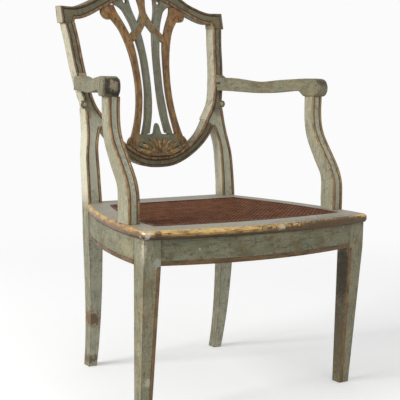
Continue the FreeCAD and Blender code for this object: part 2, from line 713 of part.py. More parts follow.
def arm_blank():
    """Right arm before its joint with the stile is cut, built along its own axis."""
    top = SEAT + v("arm_top_rise")
    low = top - v("knuckle_high")
    neck = top - v("arm_front_high")
    rear_top = SEAT + v("arm_rear_rise") - v("pad_high")
    rear_low = SEAT + v("arm_rear_rise") - v("arm_rear_high")
    dip = top - v("arm_dip")
    dip_at = v("arm_dip_at")
    long = ARM_LONG
    nose = v("knuckle_long")
    upper = [(14.0, low), (6.5, low + 3.5), (1.8, low + 11.0), (0.0, low + 0.45 * (top - low)),
             (1.8, top - 14.0), (7.0, top - 5.0), (16.0, top - 0.6), (26.0, top + 0.4),
             (0.8 * nose, top + 0.4), (0.42 * dip_at, top - 2.4),
             (0.65 * dip_at, top - 6.0), (dip_at, dip),
             (dip_at + 0.5 * (long - dip_at), dip + 5.0), (long, rear_top)]
    under = [(long, rear_low), (0.75 * long, rear_low - 0.2), (0.53 * long, rear_low - 0.8),
             (0.36 * long, rear_low + 4.5), (nose + 24.0, neck - 1.5), (nose + 12.0, neck - 3.0),
             (nose + 4.0, low + 4.5), (nose - 4.0, low)]
    side = through_x(arm_side(upper, under, long + 40.0), -60, 60)
    w0 = 0.5 * v("arm_front_wide")
    w1 = 0.5 * v("arm_mid_wide")
    w2 = 0.5 * v("arm_rear_wide")
    lap = long + v("arm_lap")
    right = [Vector(w0, -5, 0), Vector(w0 + 0.1, 0.35 * nose, 0), Vector(w0, 0.75 * nose, 0),
             Vector(0.45 * w0 + 0.55 * w1, 2.1 * nose, 0), Vector(w1, 0.55 * long, 0),
             Vector(w2 - 0.4, 0.9 * long, 0), Vector(w2, lap, 0)]
    left = [Vector(-p.x, p.y, 0) for p in right[::-1]]
    plan = face([spline(right), line(right[-1], left[0]), spline(left),
                 line(left[-1], right[0])])
    plan.translate(Vector(0, 0, low - 20.0))
    blank = side.common(plan.extrude(Vector(0, 0, v("knuckle_high") + 60.0)))
    edge = v("arm_edge")
    long_edges = []
    for e in blank.Edges:
        b = e.BoundBox
        lengthwise = b.YLength > 200.0 and abs(b.Center.x) > 8.0
        if lengthwise and b.ZMax > top - 1.0:
            long_edges.append(e)
    blank = blank.makeChamfer(edge, long_edges)
    # the raised pad lies on the arm just before the stile
    pad = v("pad_long")
    high = v("pad_high")
    ramp = face([spline([Vector(0, long - pad, rear_top - 1.0),
                         Vector(0, long - 0.62 * pad, rear_top + 0.35 * high),
                         Vector(0, long - 0.25 * pad, rear_top + 0.95 * high),
                         Vector(0, long + 6.0, rear_top + 1.05 * high)]),
                 *chain([Vector(0, long + 6.0, rear_top + 1.05 * high),
                         Vector(0, long + 6.0, rear_top - 4.0),
                         Vector(0, long - pad, rear_top - 4.0),
                         Vector(0, long - pad, rear_top - 1.0)])])
    blank = blank.fuse(through_x(ramp, -0.75 * w2, 0.35 * w2)).removeSplitter()
    blank.rotate(Vector(0, 0, 0), Vector(0, 0, 1), math.degrees(ARM_ANGLE))
    blank.translate(ARM_FRONT)
    return blank


# the pieces of the back
def knuckle():
    """Round carved knuckle where the upright meets the shield, rounded off at its back."""
    z = KNUCKLE_Z
    radius = v("knuckle_radius")
    roll = Part.makeCylinder(radius, v("knuckle_deep"), Vector(KNUCKLE_X, face_y(z), z),
                             Vector(0, 1, 0))
    rear = [e for e in roll.Edges if abs(e.CenterOfMass.y - face_y(z) - v("knuckle_deep")) < 0.1]
    return roll.makeFillet(0.4 * radius, rear)


def make_stiles():
    leg, upright = stile_outline()
    slab = stile_slab(100, 300)
    shield_side = BAND_PRISM.common(slab).common(beyond_joint(+1))
    top_cut = box(100, 300, 0, 500, JOINT_Z, JOINT_Z + 100)
    shield_side = shield_side.cut(top_cut)
    body = shield_side.fuse([through_y(leg).common(slab), through_y(upright).common(slab),
                             knuckle()])
    body = body.fuse(stile_top_tongue(0.0)).removeSplitter()
    for tool in (grown(side_tenon_back(), FIT), grown(back_tenon(), FIT), cheek_tongue(FIT)):
        body = body.cut(tool)
    head, along = arm_screw_axis()
    seat = Part.makeCylinder(v("screw_head") / 2.0 + 0.6, 30.0, head - along * 30.0, along)
    hole = wood_screw(head, along, v("arm_screw_long"), v("screw_play"))
    body = body.cut(hole.fuse(seat))
    right = feature("rear_right_stile", body)
    mirror_of("rear_left_stile", right)
    return body


def make_crest():
    body = CREST_PRISM.common(crest_slab(0.0, v("crest_deep")))
    for tool in (stile_top_tongue(FIT), mirrored(stile_top_tongue(FIT)), splat_tongues(FIT)):
        body = body.cut(tool)
    feature("crest_rail", body)


def make_lower_rail():
    slab = chin_slab(0.0, v("shield_deep"), 0, 300)
    half = BAND_PRISM.common(slab).common(beyond_joint(-1))
    half = half.cut(through_y(stile_outline()[1])).fuse(cheek_tongue(0.0))
    body = both(half).removeSplitter()
    body = body.cut(splat_tongues(FIT))
    feature("shield_lower_rail", body)


def rib(outer, inner):
    """Front view face of one rib between its outer and inner edge."""
    a = xz([(x, SHIELD_Z + h) for x, h in outer])
    b = xz([(x, SHIELD_Z + h) for x, h in inner])
    return face([spline(a), line(a[-1], b[-1]), spline(b[::-1]), line(b[0], a[0])])


def splat_outline_parts():
    """Front view faces that together make the right half of the pierced splat."""
    w_c = 0.5 * v("rib_centre_gap")
    w_i = w_c + v("rib_inner_width")
    w_o = w_i + v("rib_gap")
    w_e = w_o + v("rib_outer_width")
    foot = v("splat_foot_high")
    head = CREST_Z - v("crest_high") - SHIELD_Z
    tall = head - foot
    sweep = v("rib_sweep")
    outer_rib = rib([(w_e + 0.405 * sweep, foot - 0.022 * tall), (w_e + 0.169 * sweep, foot + 0.104 * tall), (w_e + 0.020 * sweep, foot + 0.258 * tall),
                     (w_e, foot + 0.399 * tall), (w_e + 0.077 * sweep, foot + 0.539 * tall), (w_e + 0.248 * sweep, foot + 0.669 * tall),
                     (w_e + 0.472 * sweep, foot + 0.764 * tall), (w_e + 0.641 * sweep, foot + 0.806 * tall),
                     (w_e + 0.859 * sweep, foot + 0.857 * tall), (w_e + 1.000 * sweep, foot + 0.927 * tall)],
                    [(w_o + 0.303 * sweep, foot - 0.014 * tall), (w_o + 0.158 * sweep, foot + 0.104 * tall), (w_o + 0.016 * sweep, foot + 0.258 * tall),
                     (w_o, foot + 0.399 * tall), (w_o + 0.053 * sweep, foot + 0.553 * tall), (w_o + 0.147 * sweep, foot + 0.669 * tall),
                     (w_o + 0.347 * sweep, foot + 0.764 * tall), (w_o + 0.500 * sweep, foot + 0.820 * tall),
                     (w_o + 0.655 * sweep, foot + 0.871 * tall), (w_o + 0.741 * sweep, foot + 0.927 * tall)])
    inner_rib = rib([(w_i + 0.308 * sweep, foot - 0.006 * tall), (w_i + 0.206 * sweep, foot + 0.056 * tall), (w_i + 0.123 * sweep, foot + 0.118 * tall),
                     (w_i + 0.078 * sweep, foot + 0.188 * tall), (w_i + 0.011 * sweep, foot + 0.287 * tall), (w_i, foot + 0.444 * tall),
                     (w_i + 0.045 * sweep, foot + 0.587 * tall), (w_i + 0.131 * sweep, foot + 0.674 * tall),
                     (w_i + 0.281 * sweep, foot + 0.792 * tall), (w_i + 0.425 * sweep, foot + 0.854 * tall),
                     (w_i + 0.531 * sweep, foot + 0.890 * tall), (w_i + 0.734 * sweep, foot + 0.919 * tall),
                     (w_i + 1.031 * sweep, foot + 0.944 * tall)],
                    [(w_c + 0.236 * sweep, foot + 0.014 * tall), (w_c + 0.123 * sweep, foot + 0.104 * tall), (w_c + 0.067 * sweep, foot + 0.160 * tall),
                     (w_c + 0.019 * sweep, foot + 0.239 * tall), (w_c, foot + 0.416 * tall), (w_c + 0.030 * sweep, foot + 0.559 * tall),
                     (w_c + 0.097 * sweep, foot + 0.680 * tall), (w_c + 0.230 * sweep, foot + 0.803 * tall),
                     (w_c + 0.386 * sweep, foot + 0.890 * tall), (w_c + 0.431 * sweep, foot + 0.933 * tall),
                     (w_c + 0.469 * sweep, head + 0.04 * tall)])
    lobe = Part.Face(Part.Wire(Part.Circle(
        Vector(w_e + v("lobe_out"), 0, EAR_Z - v("lobe_drop")), Vector(0, 1, 0),
        v("lobe_radius")).toShape()))
    z = SHIELD_Z + foot
    top = z + tall
    half = v("post_half")
    post = face([spline(xz([(half, top + 8.0), (0.87 * half, top - 0.031 * tall),
                            (0.65 * half, top - 0.073 * tall), (0.61 * half, top - 0.118 * tall),
                            (0.67 * half, top - 0.157 * tall)])),
                 *chain(xz([(0.67 * half, top - 0.157 * tall), (0.0, top - 0.185 * tall),
                            (0.0, top + 8.0), (half, top + 8.0)]))])
    diagonal = face([spline(xz([(0.0, top - 0.205 * tall), (0.22 * w_o, top - 0.233 * tall),
                                (0.44 * w_o, top - 0.264 * tall),
                                (0.82 * w_o, top - 0.303 * tall),
                                (1.22 * w_o, top - 0.337 * tall)])),
                     line(Vector(1.22 * w_o, 0, top - 0.337 * tall),
                          Vector(1.44 * w_o, 0, top - 0.295 * tall)),
                     spline(xz([(1.44 * w_o, top - 0.295 * tall), (1.04 * w_o, top - 0.254 * tall),
                                (0.61 * w_o, top - 0.197 * tall),
                                (0.34 * w_o, top - 0.154 * tall),
                                (0.2 * w_o, top - 0.118 * tall)])),
                     *chain(xz([(0.2 * w_o, top - 0.118 * tall), (0.0, top - 0.118 * tall),
                                (0.0, top - 0.205 * tall)]))])
    wing = v("splat_foot_half")
    root = w_e + 0.42 * sweep
    foot_block = face([spline(xz([(root, z - 0.06 * foot), (0.977 * wing, z - 0.17 * foot),
                                  (wing, z - 0.253 * foot), (0.943 * wing, z - 0.373 * foot)])),
                       *chain(xz([(0.943 * wing, z - 0.373 * foot),
                                  (0.45 * wing, SHIELD_Z + 0.37 * v("shield_band")),
                                  (0.0, SHIELD_Z + 0.15 * v("shield_band")),
                                  (0.0, z + 0.05 * foot), (w_c + 0.25 * sweep, z + 0.012 * foot),
                                  (w_o + 0.19 * sweep, z + 0.03 * foot),
                                  (root, z - 0.06 * foot)]))])
    tip = v("finial_high")
    finial = face([spline(xz([(0.57 * tip, z - 2.0), (0.28 * tip, z + 0.3 * tip),
                              (0.18 * tip, z + 0.7 * tip), (0.0, z + tip)])),
                   *chain(xz([(0.0, z + tip), (0.0, z - 2.0), (0.57 * tip, z - 2.0)]))])
    return [outer_rib, inner_rib, lobe, post, diagonal, foot_block, finial]


def make_splat():
    parts = splat_outline_parts()
    half = parts[0].fuse(parts[1:])
    prisms = [through_y(f, 150.0, 450.0) for f in half.removeSplitter().Faces]
    slab = splat_slab(0.0, v("splat_thick"), -150, 150)
    right = prisms[0] if len(prisms) == 1 else prisms[0].fuse(prisms[1:])
    right = right.common(slab).cut(CREST_PRISM).cut(BAND_PRISM)
    eye_x = 0.5 * v("rib_centre_gap") + v("eye_out")
    eye_z = CREST_Z - v("crest_high") - v("eye_drop")
    eye = Part.makeCylinder(v("eye_radius"), 300, Vector(eye_x, 150, eye_z), Vector(0, 1, 0))
    right = right.cut(eye)
    body = right.fuse(mirrored(right))
    tongues = splat_tongues(0.0)
    keep = tongues.common(CREST_PRISM.fuse(both(BAND_PRISM)))
    body = body.fuse(keep).removeSplitter()
    solids = sorted(body.Solids, key=lambda item: item.Volume)
    feature("splat", solids[-1])


def make_shell():
    """Fan shaped carving: scalloped outline with hollows between its lobes."""
    count = int(round(v("shell_lobes")))
    half = v("shell_half")
    high = v("shell_high")
    relief = v("shell_relief")
    z0 = SHIELD_Z + v("shield_band") + 2.0
    tips = []
    for k in range(count + 1):
        a = math.pi * (0.06 + 0.88 * k / count)
        tips.append(Vector(half * math.cos(a), 0, z0 + 4.0 + high * math.sin(a) ** 0.8))
    edges = []
    for a, b in zip(tips[:-1], tips[1:]):
        mid = (a + b) * 0.5
        out = (mid - Vector(0, 0, z0)).normalize() * (0.24 * (b - a).Length)
        edges.append(arc(a, mid + out, b))
    base_l = Vector(-0.55 * half, 0, z0 + 3.0)
    base_r = Vector(0.55 * half, 0, z0 + 3.0)
    edges += [line(tips[-1], base_l), arc(base_l, Vector(0, 0, z0 + 0.4), base_r),
              line(base_r, tips[0])]
    prism = through_y(face(edges), 100.0, 400.0)
    body = prism.common(splat_slab(-relief, relief, -120, 120))
    for p in tips[1:-1]:
        along = Vector(p.x, 0, p.z - z0)
        length = along.Length
        along.normalize()
        side = Vector(along.z, 0, -along.x)
        y = CHIN_Y + v("splat_foot_set") - relief
        start = Vector(0, y + 1.6, z0) + along * (0.32 * length)
        stop = Vector(0, y + 1.6 + 0.24 * (p.z - z0), z0) + along * (1.1 * length)
        deep = 0.55 * relief
        wide = 2.6
        tri0 = [start + side * 0.6 * wide - Vector(0, 4.0, 0), start - side * 0.6 * wide - Vector(0, 4.0, 0),
                start + Vector(0, 0.4 * deep, 0)]
        tri1 = [stop + side * wide - Vector(0, 6.0, 0), stop - side * wide - Vector(0, 6.0, 0),
                stop + Vector(0, deep, 0)]
        groove = Part.makeLoft([Part.makePolygon(tri0 + tri0[:1]), Part.makePolygon(tri1 + tri1[:1])],
                               True, True)
        body = body.cut(groove)
    body = body.cut(BAND_PRISM).cut(mirrored(BAND_PRISM))
    solids = sorted(body.Solids, key=lambda item: item.Volume)
    feature("shell_carving", solids[-1])


# arms and supports
def make_arms(stile):
    body = arm_blank().cut(stile)
    body = sorted(body.Solids, key=lambda item: item.Volume)[-1]
    head, along = arm_screw_axis()
    body = body.cut(wood_screw(head, along, v("arm_screw_long"), v("screw_play")))
    body = body.cut(grown(support_head_tenon(), FIT))
    right = feature("right_arm", body)
    mirror_of("left_arm", right)


def make_supports():
    """S-curved support: side view outline, extruded to its thickness, with its two tenons."""
    base = SEAT
    under = SEAT + v("arm_top_rise") - v("knuckle_high")
    rise = under - base
    bf = v("support_base_front")
    tf = v("support_top_front")
    run = tf - bf
    bb = bf + v("support_base_deep")
    tb = tf + v("support_top_deep")
    back_run = tb - bb
    front = [(bf, 0.0), (bf + 0.01 * run, 0.17), (bf + 0.03 * run, 0.235), (bf + 0.10 * run, 0.31),
             (bf + 0.215 * run, 0.38), (bf + 0.37 * run, 0.45), (bf + 0.535 * run, 0.52),
             (bf + 0.70 * run, 0.59), (bf + 0.845 * run, 0.66), (bf + 0.94 * run, 0.735),
             (bf + 0.985 * run, 0.81), (bf + 1.005 * run, 0.90), (tf, 1.0)]
    back = [(bb, 0.0), (bb + 0.02 * back_run, 0.10), (bb + 0.02 * back_run, 0.24),
            (bb + 0.085 * back_run, 0.31), (bb + 0.27 * back_run, 0.385),
            (bb + 0.46 * back_run, 0.46), (bb + 0.66 * back_run, 0.545),
            (bb + 0.80 * back_run, 0.615), (bb + 0.90 * back_run, 0.69),
            (bb + 0.965 * back_run, 0.78), (bb + 0.995 * back_run, 0.89), (tb, 1.0)]
    a = [Vector(0, y, base + t * rise) for y, t in front]
    b = [Vector(0, y, base + t * rise) for y, t in back]
    side = face([spline(a, Vector(0, 0, 1), Vector(0, 0, 1)), line(a[-1], b[-1]),
                 spline(b[::-1], Vector(0, 0, -1), Vector(0, 0, -1)), line(b[0], a[0])])
    x1 = SUPPORT_OUT
    body = through_x(side, x1 - v("support_thick"), x1)
    body = body.fuse([box(*support_tenon()), box(*support_head_tenon())]).removeSplitter()
    right = feature("right_arm_support", body)
    mirror_of("left_arm_support", right)


# seat
def bow_radius(half, bow):
    return (half ** 2 + bow ** 2) / (2.0 * bow)


def bow_y(y_mid, half, bow, x):
    radius = bow_radius(half, bow)
    return y_mid + radius - math.sqrt(radius ** 2 - x ** 2)


CANE_FRONT = FRONT_EDGE + v("frame_width_front")
CANE_BACK = face_y(SEAT) - v("frame_width_back")
CANE_HALF = v("seat_half_front") - v("frame_width_side") - 6.0
FRONT_SPLIT = CANE_FRONT + v("cane_bow") + 2.0


def opening_plan(grow, z):
    """Plan of the caned opening, grown outwards by grow."""
    y_f = CANE_FRONT - grow
    y_b = CANE_BACK + grow
    inset = v("frame_width_side") - grow
    half = CANE_HALF
    bow = v("cane_bow")
    y_corner = bow_y(y_f, half, bow, side_x(inset, CANE_FRONT + bow))
    xf = side_x(inset, y_corner)
    y_corner = bow_y(y_f, half, bow, xf)
    xf = side_x(inset, y_corner)
    xb = side_x(inset, y_b)
    y_mid = 0.5 * (y_corner + y_b)
    xm = side_x(inset, y_mid)
    p = [Vector(-xf, y_corner, z), Vector(0, y_f, z), Vector(xf, y_corner, z)]
    edges = [arc(*p), arc(p[2], Vector(xm, y_mid, z), Vector(xb, y_b, z)),
             line(Vector(xb, y_b, z), Vector(-xb, y_b, z)),
             arc(Vector(-xb, y_b, z), Vector(-xm, y_mid, z), p[0])]
    return face(edges)


def frame_plan():
    """Outer plan of the seat frame with rounded front corners."""
    half = v("seat_half_front")
    y_c = v("seat_corner_y")
    r = v("corner_radius")
    y_b = face_y(SEAT)
    x_b = side_x(0.0, y_b)
    y_m = 0.5 * (y_b + y_c)
    bow = v("front_bow")
    left = Vector(-half, y_c, 0)
    right = Vector(half, y_c, 0)
    edges = [arc(left, Vector(0, y_c - bow, 0), right),
             arc(right, Vector(side_x(0.0, y_m), y_m, 0), Vector(x_b, y_b, 0)),
             line(Vector(x_b, y_b, 0), Vector(-x_b, y_b, 0)),
             arc(Vector(-x_b, y_b, 0), Vector(-side_x(0.0, y_m), y_m, 0), left)]
    plan = face(edges)
    solid = plan.extrude(Vector(0, 0, v("frame_thick")))
    corners = [e for e in solid.Edges if len(e.Vertexes) == 2 and
               abs(e.Vertexes[0].Point.z - e.Vertexes[1].Point.z) > 1.0 and
               abs(e.Vertexes[0].Point.y - y_c) < 0.5]
    solid = solid.makeFillet(r, corners)
    return solid


def make_seat_frame():
    top = SEAT
    low = FRAME_LOW
    solid = frame_plan()
    y_b = face_y(SEAT)
    thick = v("frame_thick")
    rim = []
    for e in solid.Edges:
        box_e = e.BoundBox
        flat = box_e.ZLength < 0.01 and (abs(box_e.ZMin) < 0.01 or abs(box_e.ZMin - thick) < 0.01)
        if flat and box_e.YMin < y_b - 1.0:
            rim.append(e)
    solid = solid.makeFillet(v("nose_radius"), rim)
    solid.translate(Vector(0, 0, low))
    opening = opening_plan(0.0, low - 5.0).extrude(Vector(0, 0, thick + 10.0))
    rebate = opening_plan(v("rebate_width"), top - v("cane_thick")).extrude(Vector(0, 0, 20.0))
    groove_out = opening_plan(v("rebate_width"), top).extrude(Vector(0, 0, 20.0))
    whole = solid.cut(opening).cut(rebate).cut(groove_out)
    # the front member runs the full width; the side members butt on it
    front_zone = box(-400, 400, -500, FRONT_SPLIT, low - 5, top + 5)
    front = whole.common(front_zone)
    rest = whole.cut(front_zone)
    split_x = side_x(v("frame_width_side"), CANE_BACK)
    right_zone = box(split_x, 400, -500, y_b + 5, low - 5, top + 5)
    right = rest.common(right_zone)
    right = right.cut(grown(support_tenon(), FIT))
    back = rest.common(box(-split_x, split_x, -500, 500, low - 5, top + 5))
    # the rear member reaches back between the stiles, over the rear rail
    tail = box(-v("stile_in"), v("stile_in"), y_b,
               face_y(RAIL_LOW) + v("stile_deep") - 1.0, low, top)
    back = back.fuse(tail).removeSplitter()
    stile_zone = both(through_y(stile_outline()[0]).common(stile_slab(100, 300)))
    feature("seat_frame_front", front)
    item = feature("seat_frame_right", right.cut(stile_zone))
    mirror_of("seat_frame_left", item)
    feature("seat_frame_back", back.cut(stile_zone))


def make_cane():
    top = SEAT
    play = 0.2
    panel = opening_plan(v("rebate_width") - play, top - v("cane_thick"))
    feature("cane_panel", panel.extrude(Vector(0, 0, v("cane_thick"))))
    outer = opening_plan(v("rebate_width") - 1.0, top)
    inner = opening_plan(v("rebate_width") - 1.0 - v("binder_width"), top)
    ring = outer.extrude(Vector(0, 0, v("binder_thick"))).cut(
        inner.extrude(Vector(0, 0, v("binder_thick"))))
    feature("cane_binding", ring)


def make_rails(stile):
    low = RAIL_LOW
    high = FRAME_LOW
    leg_in = v("leg_out") - v("leg_square")
    y_leg = v("leg_front")
    mid = FRONT_EDGE + v("front_overhang")
    bow = (y_leg - 0.7) - mid
    thick = v("rail_thick_front")
    radius = bow_radius(leg_in, bow)
    inner_bow = bow * (radius - thick) / radius
    a = [Vector(-leg_in, y_leg - 0.7, low), Vector(0, mid, low), Vector(leg_in, y_leg - 0.7, low)]
    b = [Vector(leg_in, mid + thick + inner_bow, low), Vector(0, mid + thick, low),
         Vector(-leg_in, mid + thick + inner_bow, low)]
    plan = face([arc(*a), line(a[2], b[0]), arc(*b), line(b[2], a[0])])
    body = plan.extrude(Vector(0, 0, high - low))
    tenon = box(*rail_tenon_front())
    body = body.fuse([tenon, mirrored(tenon)]).removeSplitter()
    feature("front_seat_rail", body)

    y0 = y_leg + v("leg_square")
    y1 = face_y(0.5 * (low + high))
    o = v("side_overhang")
    t = v("rail_thick_side")
    reach = 8.0
    ym = 0.5 * (y0 + y1)
    p = [Vector(side_x(o, y0), y0, low), Vector(side_x(o, ym), ym, low),
         Vector(side_x(o, y1 + reach), y1 + reach, low)]
    q = [Vector(side_x(o + t, y1 + reach), y1 + reach, low), Vector(side_x(o + t, ym), ym, low),
         Vector(side_x(o + t, y0), y0, low)]
    plan = face([arc(*p), line(p[2], q[0]), arc(*q), line(q[2], p[0])])
    body = plan.extrude(Vector(0, 0, high - low))
    limit = through_x(polygon(yz([(y0 - 40, low - 5), (face_y(low), low - 5),
                                  (face_y(high), high + 5), (y0 - 40, high + 5)])), 0, 400)
    body = body.common(limit).cut(stile)
    body = sorted(body.Solids, key=lambda item: item.Volume)[-1]
    body = body.fuse([box(*side_tenon_front()), box(*side_tenon_back())]).removeSplitter()
    body = body.cut(grown(support_tenon(), FIT))
    right = feature("right_seat_rail", body)
    mirror_of("left_seat_rail", right)


# bodies with sketches
def plane_of(body, role):
    return [f for f in body.Origin.OriginFeatures if f.Role == role][0]


def rect_sketch(body, name, limits, z_expr=None):
    """Rectangle on the body's XY plane; each side is bound to the sheet by an expression."""
    sk = body.newObject("Sketcher::SketchObject", name)
    sk.AttachmentSupport = [(plane_of(body, "XY_Plane"), "")]
    sk.MapMode = "FlatFace"
    x0, x1, y0, y1 = 10.0, 20.0, 10.0, 20.0
    corners = [Vector(x0, y0, 0), Vector(x1, y0, 0), Vector(x1, y1, 0), Vector(x0, y1, 0)]
    for i in range(4):
        sk.addGeometry(Part.LineSegment(corners[i], corners[(i + 1) % 4]), False)
    for i in range(4):
        sk.addConstraint(Sketcher.Constraint("Coincident", i, 2, (i + 1) % 4, 1))
    sk.addConstraint(Sketcher.Constraint("Horizontal", 0))
    sk.addConstraint(Sketcher.Constraint("Horizontal", 2))
    sk.addConstraint(Sketcher.Constraint("Vertical", 1))
    sk.addConstraint(Sketcher.Constraint("Vertical", 3))
    names = ("left", "front", "wide", "deep")
    specs = (Sketcher.Constraint("DistanceX", -1, 1, 0, 1, x0),
             Sketcher.Constraint("DistanceY", -1, 1, 0, 1, y0),
             Sketcher.Constraint("DistanceX", 0, 1, 0, 2, x1 - x0),
             Sketcher.Constraint("DistanceY", 1, 1, 1, 2, y1 - y0))
    for label, spec, expr in zip(names, specs, limits):
        k = sk.addConstraint(spec)
        sk.renameConstraint(k, label)
        sk.setExpression("Constraints." + label, expr)
    if z_expr is not None:
        sk.setExpression(".AttachmentOffset.Base.z", z_expr)
    return sk


def make_front_legs():
    """Front leg: square block between the rails and a tapered shaft, lofted to the foot."""
    body = doc.addObject("PartDesign::Body", "leg_blank")
    rail_low = "Sizes.seat_height - Sizes.frame_thick - Sizes.rail_depth"
    block = rect_sketch(body, "leg_block",
                        ("Sizes.leg_out - Sizes.leg_square", "Sizes.leg_front",
                         "Sizes.leg_square", "Sizes.leg_square"), rail_low)
    pad = body.newObject("PartDesign::Pad", "block_pad")
    pad.Profile = block
    pad.setExpression("Length", "Sizes.rail_depth")
    block.Visibility = False
    top = rect_sketch(body, "leg_top",
                      ("Sizes.leg_out - Sizes.leg_square", "Sizes.leg_front",
                       "Sizes.leg_square", "Sizes.leg_square"), rail_low)
    foot = rect_sketch(
        body, "leg_foot",
        ("Sizes.leg_out - Sizes.leg_square / 2 - Sizes.foot_in - Sizes.foot_square / 2",
         "Sizes.leg_front + Sizes.leg_square / 2 + Sizes.foot_back - Sizes.foot_square / 2",
         "Sizes.foot_square", "Sizes.foot_square"))
    shaft = body.newObject("PartDesign::AdditiveLoft", "leg_shaft")
    shaft.Profile = top
    shaft.Sections = [foot]
    shaft.Ruled = True
    doc.recompute()
    mortises = doc.addObject("Part::Feature", "leg_mortises")
    mortises.Shape = grown(rail_tenon_front(), FIT).fuse(grown(side_tenon_front(), FIT))
    cut = doc.addObject("Part::Cut", "front_right_leg")
    cut.Label = "front_right_leg"
    cut.Base = body
    cut.Tool = mortises
    cut.Placement = SHIFT
    NODES.append(cut)
    mirror_of("front_left_leg", cut)


def make_rear_rail(drills):
    """Straight rear rail between the stiles, with a tenon at each end."""
    body = doc.addObject("PartDesign::Body", "rear_rail_blank")
    y0 = "Sizes.stile_front + Sizes.stile_deep - Sizes.rail_thick_back - 3 mm"
    low = "Sizes.seat_height - Sizes.frame_thick - Sizes.rail_depth"
    plan = rect_sketch(body, "rear_rail_plan",
                       ("-Sizes.stile_in", y0.replace(" mm", ""), "2 * Sizes.stile_in",
                        "Sizes.rail_thick_back"), low)
    pad = body.newObject("PartDesign::Pad", "rear_rail_pad")
    pad.Profile = plan
    pad.setExpression("Length", "Sizes.rail_depth")
    doc.recompute()
    tenons = doc.addObject("Part::Feature", "rear_rail_tenons")
    limits = back_tenon()
    tenons.Shape = Part.makeCompound([box(*limits), mirrored(box(*limits))])
    fuse = doc.addObject("Part::MultiFuse", "rear_rail_whole")
    fuse.Shapes = [body, tenons]
    holes = doc.addObject("Part::Feature", "rear_rail_holes")
    holes.Shape = Part.makeCompound(drills + [mirrored(d) for d in drills])
    cut = doc.addObject("Part::Cut", "rear_seat_rail")
    cut.Label = "rear_seat_rail"
    cut.Base = fuse
    cut.Tool = holes
    cut.Placement = SHIFT
    NODES.append(cut)


def block_corner(front):
    """Inner corner of the rails, and the two directions the corner block lies along."""
    if front:
        x = v("leg_out") - v("leg_square")
        y = v("leg_front") + v("leg_square")
        return x, y
    return v("stile_in"), face_y(0.5 * (RAIL_LOW + FRAME_LOW))


def make_corner_blocks():
    """Triangular blocks behind the rails' corners, each held by two screws."""
    leg = v("block_leg")
    z1 = FRAME_LOW - 4.0
    z0 = z1 - v("block_high")
    screws = []
    long = v("block_screw_long")
    for name, front in (("front", True), ("rear", False)):
        if front:
            # against the inner faces of the front and side rails, notched round the leg
            o = v("side_overhang") + v("rail_thick_side")
            y_in = v("leg_front") + v("leg_square") + FIT
            x_in = v("leg_out") - v("leg_square") - FIT
            x_side = side_x(o, y_in + leg * 0.6) - FIT
            mid = FRONT_EDGE + v("front_overhang") + v("rail_thick_front")
            y_rail = bow_y(mid, x_in, (v("leg_front") - 0.7) - (FRONT_EDGE + v("front_overhang")),
                           x_in - 10.0) + 2.6
            plan = polygon([Vector(x_in, y_in, z0), Vector(x_side, y_in, z0),
                            Vector(x_side, y_in + leg * 0.55, z0),
                            Vector(x_in - leg, y_rail, z0), Vector(x_in, y_rail, z0)])
        else:
            x_in = v("stile_in")
            y_back = v("stile_front") + v("stile_deep") - v("rail_thick_back") - 3.0
            y_stile = face_y(z0) - FIT
            o = v("side_overhang") + v("rail_thick_side")
            x_side = side_x(o, y_stile) - FIT
            plan = polygon([Vector(x_in - FIT, y_stile, z0), Vector(x_side, y_stile, z0),
                            Vector(x_side, y_stile - 0.6 * leg, z0),
                            Vector(x_in - leg, y_back, z0), Vector(x_in - FIT, y_back, z0)])
        body = plan.extrude(Vector(0, 0, z1 - z0))
        zs = 0.5 * (z0 + z1)
        pts = [e.CenterOfMass for e in body.Edges]
        if front:
            centre = Vector(x_in - 2.0, y_in + 0.25 * leg, zs)
            holes = [(Vector(x_in - 0.62 * leg, y_rail + 6.2, zs), Vector(0.25, -1, 0)),
                     (Vector(x_side - 12.0, y_in + 0.30 * leg, zs), Vector(1, -0.12, 0))]
        else:
            centre = Vector(x_in - 8.0, y_stile - 6.0, zs)
            holes = [(Vector(x_in - 0.55 * leg, y_back - 9.0, zs), Vector(0.2, 1, 0)),
                     (Vector(x_side - 12.0, y_stile - 0.32 * leg, zs), Vector(1, 0.12, 0))]
        for head, direction in holes:
            direction.normalize()
            screw = wood_screw(head, direction, 0.62 * long)
            seat = Part.makeCylinder(v("screw_head") / 2.0 + 0.5, 60.0, head - direction * 60.0,
                                     direction)
            hole = wood_screw(head, direction, 0.62 * long, v("screw_play"))
            body = body.cut(hole.fuse(seat))
            screws.append((screw, hole))
        body = sorted(body.Solids, key=lambda item: item.Volume)[-1]
        item = feature(name + "_right_corner_block", body)
        mirror_of(name + "_left_corner_block", item)
    return screws


stile_body = make_stiles()
make_crest()
make_lower_rail()
make_splat()
make_shell()
make_arms(stile_body)
make_supports()
make_seat_frame()
make_cane()
make_rails(stile_body)
make_front_legs()
block_screws = make_corner_blocks()
make_rear_rail([hole for screw, hole in block_screws[2:]])

arm_head, arm_along = arm_screw_axis()
arm_screw = wood_screw(arm_head, arm_along, v("arm_screw_long"))
feature("arm_screws", Part.makeCompound([arm_screw, mirrored(arm_screw)]))
shanks = [screw for screw, hole in block_screws]
feature("corner_block_screws", Part.makeCompound(shanks + [mirrored(s) for s in shanks]))

doc.recompute()

# the rails are drilled for the block screws once they exist
drills = [hole for screw, hole in block_screws]
for item in NODES:
    if item.Label in ("front_seat_rail", "right_seat_rail"):
        shape = item.Shape.copy()
        shape.Placement = FreeCAD.Placement()
        tools = drills + ([mirrored(d) for d in drills] if item.Label == "front_seat_rail" else [])
        shape = shape.cut(tools)
        item.Shape = shape.Solids[0] if len(shape.Solids) == 1 else shape
        item.Placement = SHIFT
doc.recompute()

